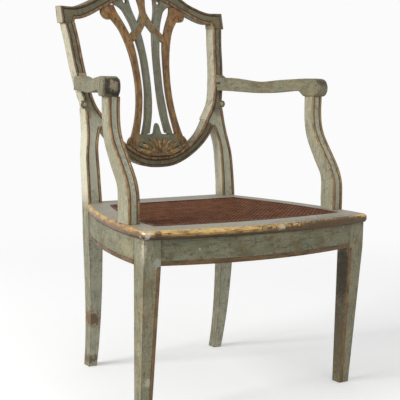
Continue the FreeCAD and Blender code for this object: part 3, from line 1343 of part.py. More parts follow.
bad = [o.Label for o in doc.Objects if "Invalid" in o.State or "Error" in o.State]
if bad:
    raise RuntimeError("objects with errors: %s" % ", ".join(bad))
broken = [i.Label for i in NODES if i.Shape.isNull() or not i.Shape.isValid()]
if broken:
    raise RuntimeError("shapes that are not valid: %s" % ", ".join(broken))

os.makedirs("parts", exist_ok=True)
for item in NODES:
    item.Shape.exportStep("parts/%s.step" % item.Label)
    bb = item.Shape.BoundBox
    print("%-26s solids %d volume %10.1f  x %7.1f %7.1f  y %7.1f %7.1f  z %7.1f %7.1f" % (
        item.Label, len(item.Shape.Solids), item.Shape.Volume, bb.XMin, bb.XMax, bb.YMin,
        bb.YMax, bb.ZMin, bb.ZMax))
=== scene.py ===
"""Looks of a shield back armchair, painted and parcel gilt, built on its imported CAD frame."""

import logging
import math
from dataclasses import dataclass, field
from enum import Enum
from typing import Callable, Iterable, Sequence

import bmesh
import bpy
from mathutils import Matrix, Vector
from mathutils.bvhtree import BVHTree

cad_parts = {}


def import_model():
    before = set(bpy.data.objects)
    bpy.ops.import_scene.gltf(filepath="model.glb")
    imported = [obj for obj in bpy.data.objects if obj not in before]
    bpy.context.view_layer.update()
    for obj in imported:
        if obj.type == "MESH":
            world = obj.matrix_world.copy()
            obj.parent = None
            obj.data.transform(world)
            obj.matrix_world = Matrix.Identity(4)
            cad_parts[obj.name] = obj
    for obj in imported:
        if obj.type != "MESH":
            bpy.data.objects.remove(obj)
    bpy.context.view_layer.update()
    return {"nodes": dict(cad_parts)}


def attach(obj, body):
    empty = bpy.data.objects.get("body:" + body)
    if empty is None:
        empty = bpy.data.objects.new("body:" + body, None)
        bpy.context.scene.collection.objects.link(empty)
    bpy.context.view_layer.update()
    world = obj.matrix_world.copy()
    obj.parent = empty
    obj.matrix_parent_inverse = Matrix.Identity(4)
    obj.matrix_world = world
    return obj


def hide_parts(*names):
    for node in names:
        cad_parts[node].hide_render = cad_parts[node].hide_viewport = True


log = logging.getLogger("shield_back_armchair")

MM = 0.001


class Side(Enum):
    """The two sides of the chair, as the sign of their X."""

    LEFT = -1.0
    RIGHT = 1.0

    @property
    def word(self) -> str:
        """Name of the side as it stands in the names of the nodes."""
        return self.name.lower()


# shader helpers

def linear(code: str) -> tuple[float, float, float, float]:
    """Turns an sRGB hex value into a linear colour.

    Args:
        code: Six hex digits, with or without a leading mark.

    Returns:
        Red, green, blue and alpha as linear values.
    """
    digits = code.lstrip("#")
    values = [int(digits[i:i + 2], 16) / 255.0 for i in (0, 2, 4)]
    bent = [v / 12.92 if v <= 0.04045 else ((v + 0.055) / 1.055) ** 2.4 for v in values]
    return (bent[0], bent[1], bent[2], 1.0)


def add(tree: bpy.types.NodeTree, kind: str, links: dict | None = None,
        **settings: object) -> bpy.types.Node:
    """Adds one node with its settings, its values and its links.

    Args:
        tree: Node tree that gets the node.
        kind: Class name of the node.
        links: Socket name or number to a value, or to the output socket that feeds it.
        **settings: Properties of the node.

    Returns:
        The new node.
    """
    made = tree.nodes.new(kind)
    for name, value in settings.items():
        setattr(made, name, value)
    for key, value in (links or {}).items():
        if isinstance(value, bpy.types.NodeSocket):
            tree.links.new(value, made.inputs[key])
        else:
            made.inputs[key].default_value = value
    return made


@dataclass
class Palette:
    """Node tree of one material with the steps that every finish here uses.

    Attributes:
        tree: The material's own node tree.
        place: Output of the Object coordinates.
    """

    tree: bpy.types.NodeTree
    place: bpy.types.NodeSocket = field(init=False)

    def __post_init__(self) -> None:
        """Clears the tree and reads the Object coordinates once."""
        self.tree.nodes.clear()
        self.place = add(self.tree, "ShaderNodeTexCoord").outputs["Object"]

    def noise(self, size_mm: float, detail: float = 3.0, stretch: Sequence[float] = (1, 1, 1),
              rough: float = 0.55, shift: float = 0.0) -> bpy.types.NodeSocket:
        """Cloudy pattern with patches of a real size.

        Args:
            size_mm: Size of one patch in millimetres.
            detail: Octaves of the noise.
            stretch: How many times longer a patch is along X, Y and Z.
            rough: Roughness of the octaves.
            shift: Moves the pattern, so that two of them differ.

        Returns:
            Value from 0 to 1.
        """
        scale = [1.0 / (size_mm * MM * s) for s in stretch]
        spread = add(self.tree, "ShaderNodeMapping", {
            "Vector": self.place, "Scale": scale, "Location": (shift, shift * 1.7, shift * 0.3)})
        return add(self.tree, "ShaderNodeTexNoise", {
            "Vector": spread.outputs[0], "Scale": 1.0, "Detail": detail,
            "Roughness": rough}).outputs[0]

    def steps(self, value: bpy.types.NodeSocket, low: float, high: float, top: float = 1.0,
              base: float = 0.0) -> bpy.types.NodeSocket:
        """Smooth step of a value between two limits.

        Args:
            value: What is stepped.
            low: Value that gives base.
            high: Value that gives top.
            top: Result at high.
            base: Result at low.

        Returns:
            The stepped value.
        """
        return add(self.tree, "ShaderNodeMapRange", {
            "Value": value, "From Min": low, "From Max": high, "To Min": base,
            "To Max": top}, interpolation_type="SMOOTHSTEP").outputs[0]

    def both(self, a: object, b: object) -> bpy.types.NodeSocket:
        """Share of the surface where two shares hold at once."""
        return add(self.tree, "ShaderNodeMath", {0: a, 1: b}, operation="MULTIPLY",
                   use_clamp=True).outputs[0]

    def either(self, a: object, b: object) -> bpy.types.NodeSocket:
        """Share of the surface where the larger of two shares holds."""
        return add(self.tree, "ShaderNodeMath", {0: a, 1: b}, operation="MAXIMUM",
                   use_clamp=True).outputs[0]

    def blend(self, share: object, a: object, b: object) -> bpy.types.NodeSocket:
        """Lays one colour over another.

        Args:
            share: How much of the second colour covers the first.
            a: Colour below, as a hex value or a socket.
            b: Colour above, as a hex value or a socket.

        Returns:
            The colour that shows.
        """
        ends = [linear(c) if isinstance(c, str) else c for c in (a, b)]
        return add(self.tree, "ShaderNodeMix", {0: share, 6: ends[0], 7: ends[1]},
                   data_type="RGBA").outputs[2]

    def spot(self, centre: Sequence[float], radii: Sequence[float], ragged: float,
             soft: float = 0.25) -> bpy.types.NodeSocket:
        """Ragged spot round one place of the piece.

        Args:
            centre: Middle of the spot in metres.
            radii: Its half sizes in metres.
            ragged: How much noise breaks its edge.
            soft: Width of the edge as a share of the spot.

        Returns:
            1 inside and 0 outside.
        """
        moved = add(self.tree, "ShaderNodeVectorMath", {0: self.place, 1: tuple(centre)},
                    operation="SUBTRACT").outputs[0]
        scaled = add(self.tree, "ShaderNodeVectorMath",
                     {0: moved, 1: tuple(1.0 / r for r in radii)},
                     operation="MULTIPLY").outputs[0]
        far = add(self.tree, "ShaderNodeVectorMath", {0: scaled},
                  operation="LENGTH").outputs["Value"]
        grain = self.noise(7.0, 6.0, rough=0.75, shift=centre[2] * 7.0)
        edge = add(self.tree, "ShaderNodeMath", {0: grain, 1: 3.2 * ragged},
                   operation="MULTIPLY").outputs[0]
        total = add(self.tree, "ShaderNodeMath", {0: far, 1: edge}, operation="ADD").outputs[0]
        middle = 0.85 + 1.6 * ragged
        return self.steps(total, middle - soft, middle + soft, 0.0, 1.0)

    def marked(self, tone: bpy.types.NodeSocket, spots: Iterable["Spot"],
               within: object = 1.0) -> bpy.types.NodeSocket:
        """Lays the worn, dirty and chipped places of a piece over its colour.

        Args:
            tone: The colour so far.
            spots: The places.
            within: Share of the surface that may carry them.

        Returns:
            The colour with the places on it.
        """
        for s in spots:
            covered = self.both(self.spot(s.centre, s.radii, s.ragged), s.share)
            tone = self.blend(self.both(covered, within), tone, s.colour)
        return tone

    def edges(self, radius_mm: float) -> bpy.types.NodeSocket:
        """Arrises of a piece, found by rounding its normal over a real radius.

        Args:
            radius_mm: How far the wear reaches from the arris, in millimetres.

        Returns:
            1 on an arris and 0 on a flat.
        """
        rounded = add(self.tree, "ShaderNodeBevel", {"Radius": radius_mm * MM}, samples=6)
        plain = add(self.tree, "ShaderNodeNewGeometry").outputs["True Normal"]
        same = add(self.tree, "ShaderNodeVectorMath", {0: rounded.outputs[0], 1: plain},
                   operation="DOT_PRODUCT").outputs["Value"]
        return self.steps(same, 0.985, 0.86, 1.0, 0.0)

    def cracks(self, size_mm: float, wide: float = 0.035) -> bpy.types.NodeSocket:
        """Fine net of cracks between plates of a real size.

        Args:
            size_mm: Size of one plate in millimetres.
            wide: Width of a crack as a share of the plate.

        Returns:
            1 in a crack and 0 on a plate.
        """
        spread = add(self.tree, "ShaderNodeMapping", {
            "Vector": self.place, "Scale": [1.0 / (size_mm * MM)] * 3})
        plates = add(self.tree, "ShaderNodeTexVoronoi", {"Vector": spread.outputs[0], "Scale": 1.0},
                     feature="DISTANCE_TO_EDGE")
        return self.steps(plates.outputs["Distance"], wide, 0.0)

    def finish(self, colour: bpy.types.NodeSocket, rough: object, metal: object = 0.0,
               height: bpy.types.NodeSocket | None = None, depth_mm: float = 0.3,
               **plain: float) -> None:
        """Ends the tree in one Principled shader.

        Args:
            colour: Base colour.
            rough: Roughness, as a number or a socket.
            metal: Metallic share, as a number or a socket.
            height: Relief from 0 to 1, if the surface has one.
            depth_mm: Depth of that relief.
            **plain: Other sockets that have one value all over, with _ for a space.
        """
        links: dict = {"Base Color": colour, "Roughness": rough, "Metallic": metal}
        if height is not None:
            links["Normal"] = add(self.tree, "ShaderNodeBump", {
                "Height": height, "Distance": depth_mm * MM, "Strength": 0.7}).outputs[0]
        links.update({k.replace("_", " "): v for k, v in plain.items()})
        shader = add(self.tree, "ShaderNodeBsdfPrincipled", links)
        add(self.tree, "ShaderNodeOutputMaterial", {"Surface": shader.outputs[0]})


def fresh(name: str) -> tuple[bpy.types.Material, Palette]:
    """Starts a material with an empty tree.

    Args:
        name: Name of the material.

    Returns:
        The material and the palette that fills its tree.
    """
    material = bpy.data.materials.new(name)
    material.use_nodes = True
    return material, Palette(material.node_tree)


# finishes

@dataclass(frozen=True)
class Spot:
    """One worn, dirty or chipped place that a piece shows.

    Attributes:
        centre: Middle of the place in metres.
        radii: Its half sizes in metres.
        colour: sRGB hex of what lies bare or stuck there.
        ragged: How broken its edge is.
        share: How much of the place it covers.
    """

    centre: tuple[float, float, float]
    radii: tuple[float, float, float]
    colour: str
    ragged: float = 1.2
    share: float = 0.9


@dataclass(frozen=True)
class DistemperOnGesso:
    """Old sage green distemper, brushed over gesso and red bole on beech.

    It gives the eye a chalky, clouded green with dark grime in it, worn to brown bole on
    the arrises and chipped to white gesso in places.

    Attributes:
        name: Name of the material.
        ground: The paint's own green.
        pale: Paint that is rubbed thin and chalky.
        grime: Dirt that stuck in the brushwork.
        bole: Brown under the paint, bare on the arrises.
        gesso: White ground that shows in the chips.
        cool: Greener tone of patches that age has not yellowed.
        flank: Tone of the sides that face left and right, painted light where it is paler
            than the ground and painted shade where it is darker.
        flank_share: How much of those sides it covers.
        flank_from: Height in metres above which the sides take that tone.
        flank_low: Their tone below that height, painted shade under the seat.
        inside: Bare wood of the faces that look into the chair, laid dark as painted shade under
        the seat, or nothing.
        middle: Point inside the chair that those faces look to, in metres.
        high: Darker tone of the part that frames the shield, or nothing.
        high_from: Heights in metres between which that tone comes in.
        wear: How far the arrises are worn.
        cloud: Strength of the cloudy patches.
        dirt: Strength of the dirt.
        grain: How much longer a brush mark is along X, Y and Z.
        spots: Worn, dirty and chipped places.
        cloud_mm: Size of a cloudy patch in millimetres.
        stain_mm: Size of a stain.
        brush_mm: Width of a brush mark.
        mottle_mm: Size of a patch of dirt.
        crack_mm: Size of a plate between the cracks.
        chip_mm: Size of a chip.
        arris_mm: How far the wear reaches from an arris.
    """

    name: str
    ground: str = "#8a8468"
    pale: str = "#b9b194"
    grime: str = "#4f4530"
    bole: str = "#6e5233"
    gesso: str = "#d9d2c2"
    cool: str = "#84907f"
    # Painted light and shade on the sides that face left and right.
    flank: str = "#cdc6ad"
    flank_share: float = 0.0
    flank_from: float = 0.0
    flank_low: str = "#78745d"
    inside: str = ""
    middle: tuple[float, float, float] = (0.0, -0.05, 0.3)
    high: str = ""
    high_from: tuple[float, float] = (0.62, 0.66)
    wear: float = 0.85
    cloud: float = 0.55
    dirt: float = 0.5
    grain: tuple[float, float, float] = (1.0, 1.0, 5.0)
    spots: tuple[Spot, ...] = ()
    cloud_mm: float = 60.0
    stain_mm: float = 38.0
    brush_mm: float = 6.0
    mottle_mm: float = 12.0
    crack_mm: float = 9.0
    chip_mm: float = 5.0
    arris_mm: float = 4.2

    def turned(self, p: Palette, tone: bpy.types.NodeSocket) -> bpy.types.NodeSocket:
        """Lays on the tones that follow the height and the way that a face looks.

        Args:
            p: Palette of the material.
            tone: The colour so far.

        Returns:
            The colour with the darker shield and the painted light and shade of the sides,
            where the piece has them.
        """
        up = add(p.tree, "ShaderNodeSeparateXYZ", {0: p.place}).outputs["Z"]
        if self.high:
            tone = p.blend(p.steps(up, *self.high_from, 0.8), tone, self.high)
        # Painted light and shade: faces turned left or right take the side tone, and a darker one
        # below the seat height as painted shade.
        if self.flank_share:
            normal = add(p.tree, "ShaderNodeNewGeometry").outputs["True Normal"]
            across = add(p.tree, "ShaderNodeSeparateXYZ", {0: normal}).outputs["X"]
            sideways = add(p.tree, "ShaderNodeMath", {0: across}, operation="ABSOLUTE").outputs[0]
            above = p.steps(up, self.flank_from - 0.03, self.flank_from + 0.03)
            shaded_sides = p.blend(above, self.flank_low, self.flank)
            tone = p.blend(p.steps(sideways, 0.6, 0.85, self.flank_share), tone, shaded_sides)
        return tone

    def bared(self, p: Palette, tone: bpy.types.NodeSocket,
              grain: bpy.types.NodeSocket) -> bpy.types.NodeSocket:
        """Leaves the faces that look into the chair unpainted, in a dark tone that is partly
        painted shade.

        Args:
            p: Palette of the material.
            tone: The colour so far.
            grain: Pattern of the bare wood.

        Returns:
            The colour with dark bare wood, partly painted shade, on the inner faces and below.
        """
        normal = add(p.tree, "ShaderNodeNewGeometry").outputs["True Normal"]
        out = add(p.tree, "ShaderNodeVectorMath", {0: p.place, 1: self.middle},
                  operation="SUBTRACT").outputs[0]
        faced = add(p.tree, "ShaderNodeVectorMath", {0: normal, 1: out},
                    operation="DOT_PRODUCT").outputs["Value"]
        # Bare wood in a dark tone: the unpainted inside, darkened further as painted shade under
        # the seat.
        sawn = p.blend(p.steps(grain, 0.35, 0.65), "#33261a", self.inside)
        return p.blend(p.steps(faced, -0.004, -0.012), tone, sawn)

    def colour(self, p: Palette) -> tuple[bpy.types.NodeSocket, bpy.types.NodeSocket]:
        """Builds the painted colour.

        Args:
            p: Palette of the material.

        Returns:
            The colour and the height of the paint.
        """
        clouds = p.noise(self.cloud_mm, 5.0, rough=0.6)
        stains = p.noise(self.stain_mm, 5.0, rough=0.7, shift=6.2)
        brushed = p.noise(self.brush_mm, 5.0, self.grain, 0.65, 3.1)
        mottled = p.noise(self.mottle_mm, 6.0, rough=0.75, shift=5.3)
        tone = p.blend(p.steps(clouds, 0.40, 0.60, self.cloud), self.ground, self.pale)
        tone = p.blend(p.steps(stains, 0.60, 0.40, 0.35), tone, self.cool)
        tone = self.turned(p, tone)
        tone = p.blend(p.steps(brushed, 0.48, 0.72, 0.5), tone, self.pale)
        tone = p.blend(p.steps(brushed, 0.50, 0.28, self.dirt), tone, self.grime)
        tone = p.blend(p.steps(mottled, 0.53, 0.66, self.dirt * 0.9), tone, self.grime)
        tone = p.blend(p.steps(stains, 0.56, 0.68, self.dirt * 0.55), tone, self.bole)
        net = p.cracks(self.crack_mm, 0.05)
        old = p.both(net, p.steps(clouds, 0.45, 0.58, 0.55, 0.12))
        tone = p.blend(old, tone, self.grime)
        chips = p.steps(p.noise(self.chip_mm, 3.0, shift=9.7), 0.69, 0.73, 0.85)
        tone = p.blend(chips, tone, self.gesso)
        rubbed = p.both(p.edges(self.arris_mm),
                        p.steps(p.noise(14.0, 4.0, shift=2.2), 0.34, 0.56, self.wear, 0.25))
        tone = p.blend(rubbed, tone, self.bole)
        tone = p.marked(tone, self.spots)
        if self.inside:
            tone = self.bared(p, tone, brushed)
        height = add(p.tree, "ShaderNodeMath", {0: p.both(brushed, 0.6), 1: p.both(net, 0.4)},
                     operation="SUBTRACT").outputs[0]
        return tone, height

    def material(self) -> bpy.types.Material:
        """Makes the painted material.

        Returns:
            The material with its own tree.
        """
        made, p = fresh(self.name)
        tone, height = self.colour(p)
        p.finish(tone, p.steps(p.noise(9.0, shift=1.4), 0.3, 0.7, 0.72, 0.5), 0.0, height, 0.25,
                 Specular_IOR_Level=0.35)
        return made


@dataclass(frozen=True)
class WaterGilding:
    """Gold leaf laid in water on red bole, burnished and long worn.

    It gives the eye broken gold with soft gleams, brown bole where the leaf is gone and
    dark dirt in the low places.

    Attributes:
        name: Name of the material.
        leaf: The gold leaf.
        bole: Brown bole below it.
        dark: Dirt. The gilt nose also lays it on its underside as painted shade, and the splat lays
        it along every arris.
        gone: How much of the leaf is gone, from 0 to 1.
        sheen: How metallic the leaf still is.
        along: How much longer a patch is along X, Y and Z.
        spots: Worn, dirty and chipped places.
        leaf_mm: Size of a patch of leaf in millimetres.
        worn_mm: Size of a patch of bole.
        dirt_mm: Size of a patch of dirt.
    """

    name: str
    leaf: str = "#b8914f"
    bole: str = "#85603a"
    dark: str = "#3f2f1f"
    gone: float = 0.5
    sheen: float = 0.55
    along: tuple[float, float, float] = (1.0, 1.0, 1.0)
    spots: tuple[Spot, ...] = ()
    leaf_mm: float = 11.0
    worn_mm: float = 30.0
    dirt_mm: float = 7.0

    def colour(self, p: Palette) -> tuple[bpy.types.NodeSocket, bpy.types.NodeSocket]:
        """Builds the gilded colour.

        Args:
            p: Palette of the material.

        Returns:
            The colour and how much leaf is left.
        """
        left = p.steps(p.noise(self.leaf_mm, 7.0, self.along, 0.78, 4.4), self.gone - 0.12,
                       self.gone + 0.12)
        tone = p.blend(left, self.bole, self.leaf)
        worn = p.noise(self.worn_mm, 4.0, self.along, 0.7, 1.1)
        dirty = p.noise(self.dirt_mm, 5.0, self.along, 0.75, 8.1)
        tone = p.blend(p.steps(worn, 0.5, 0.66, 0.6), tone, self.bole)
        tone = p.blend(p.steps(dirty, 0.52, 0.66, 0.9), tone, self.dark)
        tone = p.marked(tone, self.spots)
        return tone, left

    def material(self) -> bpy.types.Material:
        """Makes the gilded material.

        Returns:
            The material with its own tree.
        """
        made, p = fresh(self.name)
        tone, left = self.colour(p)
        rough = p.steps(left, 0.0, 1.0, 0.42, 0.65)
        p.finish(tone, rough, p.both(left, self.sheen), p.noise(3.0, 3.0), 0.2)
        return made


@dataclass(frozen=True)
class GiltNosedPaint:
    """Painted frame member whose rounded edge is gilded.

    The flat top keeps the paint. The rounding shows worn gold on bole, with grime and gesso
    where knees and hands have rubbed it, a painted highlight on its upper part and painted
    shade on its underside.

    Attributes:
        name: Name of the material.
        paint: Finish of the flat top.
        gold: Finish of the rounding.
        gleam: Pale gold painted as a highlight on the upper part of the rounding.
        flat: Steepness, as Z of the normal, between which paint turns to gold.
    """

    name: str
    paint: DistemperOnGesso
    gold: WaterGilding
    gleam: str = "#ecc987"
    flat: tuple[float, float] = (0.992, 0.975)

    def material(self) -> bpy.types.Material:
        """Makes the material that parts paint and gold by the slope of the surface.

        Returns:
            The material with its own tree.
        """
        made, p = fresh(self.name)
        tone, height = self.paint.colour(p)
        gilt, left = self.gold.colour(p)
        normal = add(p.tree, "ShaderNodeNewGeometry").outputs["True Normal"]
        up = add(p.tree, "ShaderNodeSeparateXYZ", {0: normal}).outputs["Z"]
        slope = p.steps(up, *self.flat)
        full = p.blend(slope, tone, gilt)
        # Painted shade: the downward facing part of the rounding darkens to the gold's dark tone.
        full = p.blend(p.steps(up, 0.30, -0.30, 0.9), full, self.gold.dark)
        # Painted highlight: the upward facing part of the gilt rounding is lightened.
        highlight_share = p.both(p.steps(up, 0.35, 0.7, 0.55), p.both(left, slope))
        full = p.blend(highlight_share, full, self.gleam)
        kept = p.steps(up, *self.flat, 1.0, 0.6)
        full = p.marked(full, self.gold.spots, kept)
        metal = p.both(p.both(left, slope), self.gold.sheen)
        p.finish(full, p.steps(metal, 0.0, 0.5, 0.4, 0.62), metal, height, 0.22)
        return made


@dataclass(frozen=True)
class GiltRibbedSplat:
    """Pierced splat with its outer ribs, its crossing bars and its post gilded brown.

    It gives the eye green inner ribs between mottled golden brown ones.

    Attributes:
        name: Name of the material.
        paint: Finish of the inner ribs.
        gold: Finish of the outer ribs, the bars and the post.
        parting: Half width in metres that parts the inner ribs from the outer ones, at
            heights in metres.
        bar: Height of the crossing bars at the middle, their fall and its easing.
    """

    name: str
    paint: DistemperOnGesso
    gold: WaterGilding
    parting: tuple[tuple[float, float], ...] = (
        (0.500, 0.075), (0.560, 0.066), (0.583, 0.0505), (0.625, 0.0403), (0.680, 0.0322),
        (0.730, 0.0314), (0.785, 0.0345), (0.826, 0.0402), (0.864, 0.0505), (0.880, 0.060),
        (0.898, 0.069), (0.918, 0.079), (0.930, 0.090), (1.000, 0.100))
    bar: tuple[float, float, float] = (0.887, -1.5, 8.0)

    def material(self) -> bpy.types.Material:
        """Makes the material that parts paint and gold along the ribs.

        Returns:
            The material with its own tree.
        """
        made, p = fresh(self.name)
        tone, height = self.paint.colour(p)
        gilt, left = self.gold.colour(p)
        split = add(p.tree, "ShaderNodeSeparateXYZ", {0: p.place}).outputs
        across = add(p.tree, "ShaderNodeMath", {0: split["X"]}, operation="ABSOLUTE").outputs[0]
        low, high = self.parting[0][0], self.parting[-1][0]
        up = add(p.tree, "ShaderNodeMapRange", {"Value": split["Z"], "From Min": low,
                                                "From Max": high}).outputs[0]
        ramp = add(p.tree, "ShaderNodeValToRGB", {0: up})
        stops = ramp.color_ramp.elements
        while len(stops) < len(self.parting):
            stops.new(0.5)
        for stop, (z, _) in zip(stops, self.parting):
            stop.position = (z - low) / (high - low)
        for stop, (_, x) in zip(stops, self.parting):
            stop.color = (x * 10, x * 10, x * 10, 1.0)
        wide = add(p.tree, "ShaderNodeMath", {0: across, 1: 10.0},
                   operation="MULTIPLY").outputs[0]
        past = add(p.tree, "ShaderNodeMath", {0: wide, 1: ramp.outputs[0]},
                   operation="SUBTRACT").outputs[0]
        ribs = p.steps(past, -0.015, 0.015)
        curve = add(p.tree, "ShaderNodeMath", {0: across, 1: self.bar[2], 2: self.bar[1]},
                    operation="MULTIPLY_ADD").outputs[0]
        line = add(p.tree, "ShaderNodeMath", {0: across, 1: curve, 2: self.bar[0]},
                   operation="MULTIPLY_ADD").outputs[0]
        off = add(p.tree, "ShaderNodeMath", {0: split["Z"], 1: line},
                  operation="SUBTRACT").outputs[0]
        far = add(p.tree, "ShaderNodeMath", {0: off}, operation="ABSOLUTE").outputs[0]
        bars = p.both(p.steps(far, 0.013, 0.009), p.steps(across, 0.056, 0.050))
        post = p.both(p.steps(across, 0.0145, 0.012), p.steps(split["Z"], 0.868, 0.878))
        share = p.either(ribs, p.both(p.either(bars, post), 0.85))
        rubbed = p.noise(18.0, 5.0, rough=0.7, shift=7.7)
        share = p.both(share, p.steps(rubbed, 0.30, 0.44, 1.0, 0.45))
        full = p.blend(share, tone, gilt)
        # Darker along every arris of the splat.
        full = p.blend(p.both(p.edges(3.0), 0.6), full, self.gold.dark)
        metal = p.both(p.both(left, share), self.gold.sheen)
        p.finish(full, p.steps(metal, 0.0, 0.4, 0.42, 0.62), metal, height, 0.22)
        return made


@dataclass(frozen=True)
class StainedCane:
    """Split rattan skin, stained and darkened by age.

    It gives the eye smooth reddish brown strands with near black depths between them.

    Attributes:
        name: Name of the material.
        bright: Strands that catch the light.
        dark: Strands that are stained more.
        deep: Shadow and dust between the strands.
        under: Heights in metres between which the depths turn to strand; strands lying lower take
        the deep tone as painted shade.
    """

    name: str
    bright: str = "#8a5a3f"
    dark: str = "#593624"
    deep: str = "#1c110c"
    under: tuple[float, float] = (0.42454, 0.42466)

    def material(self) -> bpy.types.Material:
        """Makes the cane material.

        Returns:
            The material with its own tree.
        """
        made, p = fresh(self.name)
        tone = p.blend(p.steps(p.noise(28.0, 4.0), 0.35, 0.65, 1.0, 0.35), self.dark, self.bright)
        tone = p.blend(p.steps(p.noise(3.0, 3.0, shift=2.0), 0.55, 0.8, 0.5), tone, "#3a261e")
        high = add(p.tree, "ShaderNodeSeparateXYZ", {0: p.place}).outputs["Z"]
        # Painted shade: strands lying lower darken to the deep tone.
        tone = p.blend(p.steps(high, self.under[1], self.under[0]), tone, self.deep)
        p.finish(tone, 0.6, 0.0, p.noise(1.6, 2.0), 0.1, Specular_IOR_Level=0.08)
        return made


@dataclass(frozen=True)
class SawnBeech:
    """Unpainted sawn beech.

    It gives the eye long pale brown grain with darker flecks.

    Attributes:
        name: Name of the material.
        light: Early wood.
        dark: Late wood and flecks.
    """

    name: str
    light: str = "#a98557"
    dark: str = "#7c5c3a"

    def material(self) -> bpy.types.Material:
        """Makes the bare wood material.

        Returns:
            The material with its own tree.
        """
        made, p = fresh(self.name)
        grain = p.noise(4.0, 5.0, (7.0, 1.0, 1.0), 0.7)
        tone = p.blend(p.steps(grain, 0.35, 0.7), self.light, self.dark)
        tone = p.blend(p.steps(p.noise(40.0, 3.0), 0.45, 0.75, 0.5), tone, "#5e452c")
        p.finish(tone, 0.7, 0.0, grain, 0.2)
        return made


@dataclass(frozen=True)
class BlackenedIron:
    """Hand filed iron screws, dull and blackened.

    It gives the eye a dark grey with a little rust in the hollows.

    Attributes:
        name: Name of the material.
    """

    name: str

    def material(self) -> bpy.types.Material:
        """Makes the iron material.

        Returns:
            The material with its own tree.
        """
        made, p = fresh(self.name)
        rust = p.steps(p.noise(2.5, 4.0), 0.5, 0.7, 0.6)
        p.finish(p.blend(rust, "#4a4643", "#5f4230"), 0.55, p.steps(rust, 0.0, 0.6, 0.15, 0.85),
                 p.noise(1.2, 2.0), 0.1)
        return made


@dataclass(frozen=True)
class StudioPaper:
    """Seamless pale studio paper. It keeps the soft shadow and fades into the background.

    Attributes:
        name: Name of the material.
        shown: Level at which the camera sees the bare paper, from 0 to 1.
        lit: Colour of the part that the lamps light, so that a shadow shows.
        level: Light that falls on the bare paper, where 1 shows a colour as written.
        fade: Distances in metres between which the lit share goes to nothing.
    """

    name: str
    shown: float = 0.965
    lit: float = 0.95
    level: float = 0.80
    fade: tuple[float, float] = (1.1, 2.4)

    def material(self) -> bpy.types.Material:
        """Makes the paper.

        Returns:
            The material with its own tree.
        """
        made, p = fresh(self.name)
        away = add(p.tree, "ShaderNodeVectorMath", {0: p.place},
                   operation="LENGTH").outputs["Value"]
        share = p.steps(away, self.fade[0], self.fade[1], 1.0, 0.0)
        sheet = add(p.tree, "ShaderNodeBsdfDiffuse", {"Color": (self.lit,) * 3 + (1.0,)})
        glow = add(p.tree, "ShaderNodeEmission", {"Color": (1.0, 1.0, 1.0, 1.0),
                                                  "Strength": self.shown
                                                  - self.lit * self.level})
        near = add(p.tree, "ShaderNodeAddShader", {0: sheet.outputs[0], 1: glow.outputs[0]})
        plain = add(p.tree, "ShaderNodeEmission", {"Strength": self.shown})
        seen = add(p.tree, "ShaderNodeMixShader", {0: share, 1: near.outputs[0],
                                                   2: plain.outputs[0]})
        real = add(p.tree, "ShaderNodeBsdfDiffuse", {"Color": (0.75, 0.75, 0.75, 1.0)})
        end = add(p.tree, "ShaderNodeMixShader", {0: seen_by_eye(p), 1: real.outputs[0],
                                                  2: seen.outputs[0]})
        add(p.tree, "ShaderNodeOutputMaterial", {"Surface": end.outputs[0]})
        return made


def seen_by_eye(p: Palette) -> bpy.types.NodeSocket:
    """Parts what the camera sees, straight, in a gloss or through glass, from the light.

    Args:
        p: Palette of the material or the world.

    Returns:
        1 for a ray of the camera's and 0 for light.
    """
    path = add(p.tree, "ShaderNodeLightPath").outputs
    return p.either(path["Is Camera Ray"],
                    p.either(path["Is Glossy Ray"], path["Is Transmission Ray"]))


# mesh helpers

def hull_of(nodes: Iterable[bpy.types.Object]) -> BVHTree:
    """Builds a search tree over the faces of some CAD nodes.

    Args:
        nodes: The CAD nodes.

    Returns:
        The tree, on which lines can be laid.
    """
    bm = bmesh.new()
    for item in nodes:
        bm.from_mesh(item.data)
    tree = BVHTree.FromBMesh(bm)
    bm.free()
    return tree


def curve_through(points: Sequence[Sequence[float]], step: float) -> list[Vector]:
    """Smooth plane curve through some points.

    Args:
        points: Points of the curve, each two numbers.
        step: Distance between the points that come back.

    Returns:
        Points along a Catmull-Rom curve, as two dimensional vectors.
    """
    p = [Vector((a[0], a[1])) for a in points]
    p = [p[0] * 2 - p[1], *p, p[-1] * 2 - p[-2]]
    out: list[Vector] = []
    for a, b, c, d in zip(p, p[1:], p[2:], p[3:]):
        count = max(2, int((c - b).length / step))
        for i in range(count):
            t = i / count
            out.append(0.5 * ((2 * b) + (c - a) * t + (2 * a - 5 * b + 4 * c - d) * t ** 2
                              + (3 * b - a - 3 * c + d) * t ** 3))
    return [*out, p[-2]]


def offset(points: Sequence[Vector], inward: float) -> list[Vector]:
    """Moves a plane curve sideways.

    Args:
        points: Points of the curve.
        inward: Distance to the right of its run.

    Returns:
        The moved points.
    """
    out = []
    for i, q in enumerate(points):
        run = (points[min(i + 1, len(points) - 1)] - points[max(i - 1, 0)]).normalized()
        out.append(q + Vector((run.y, -run.x)) * inward)
    return out


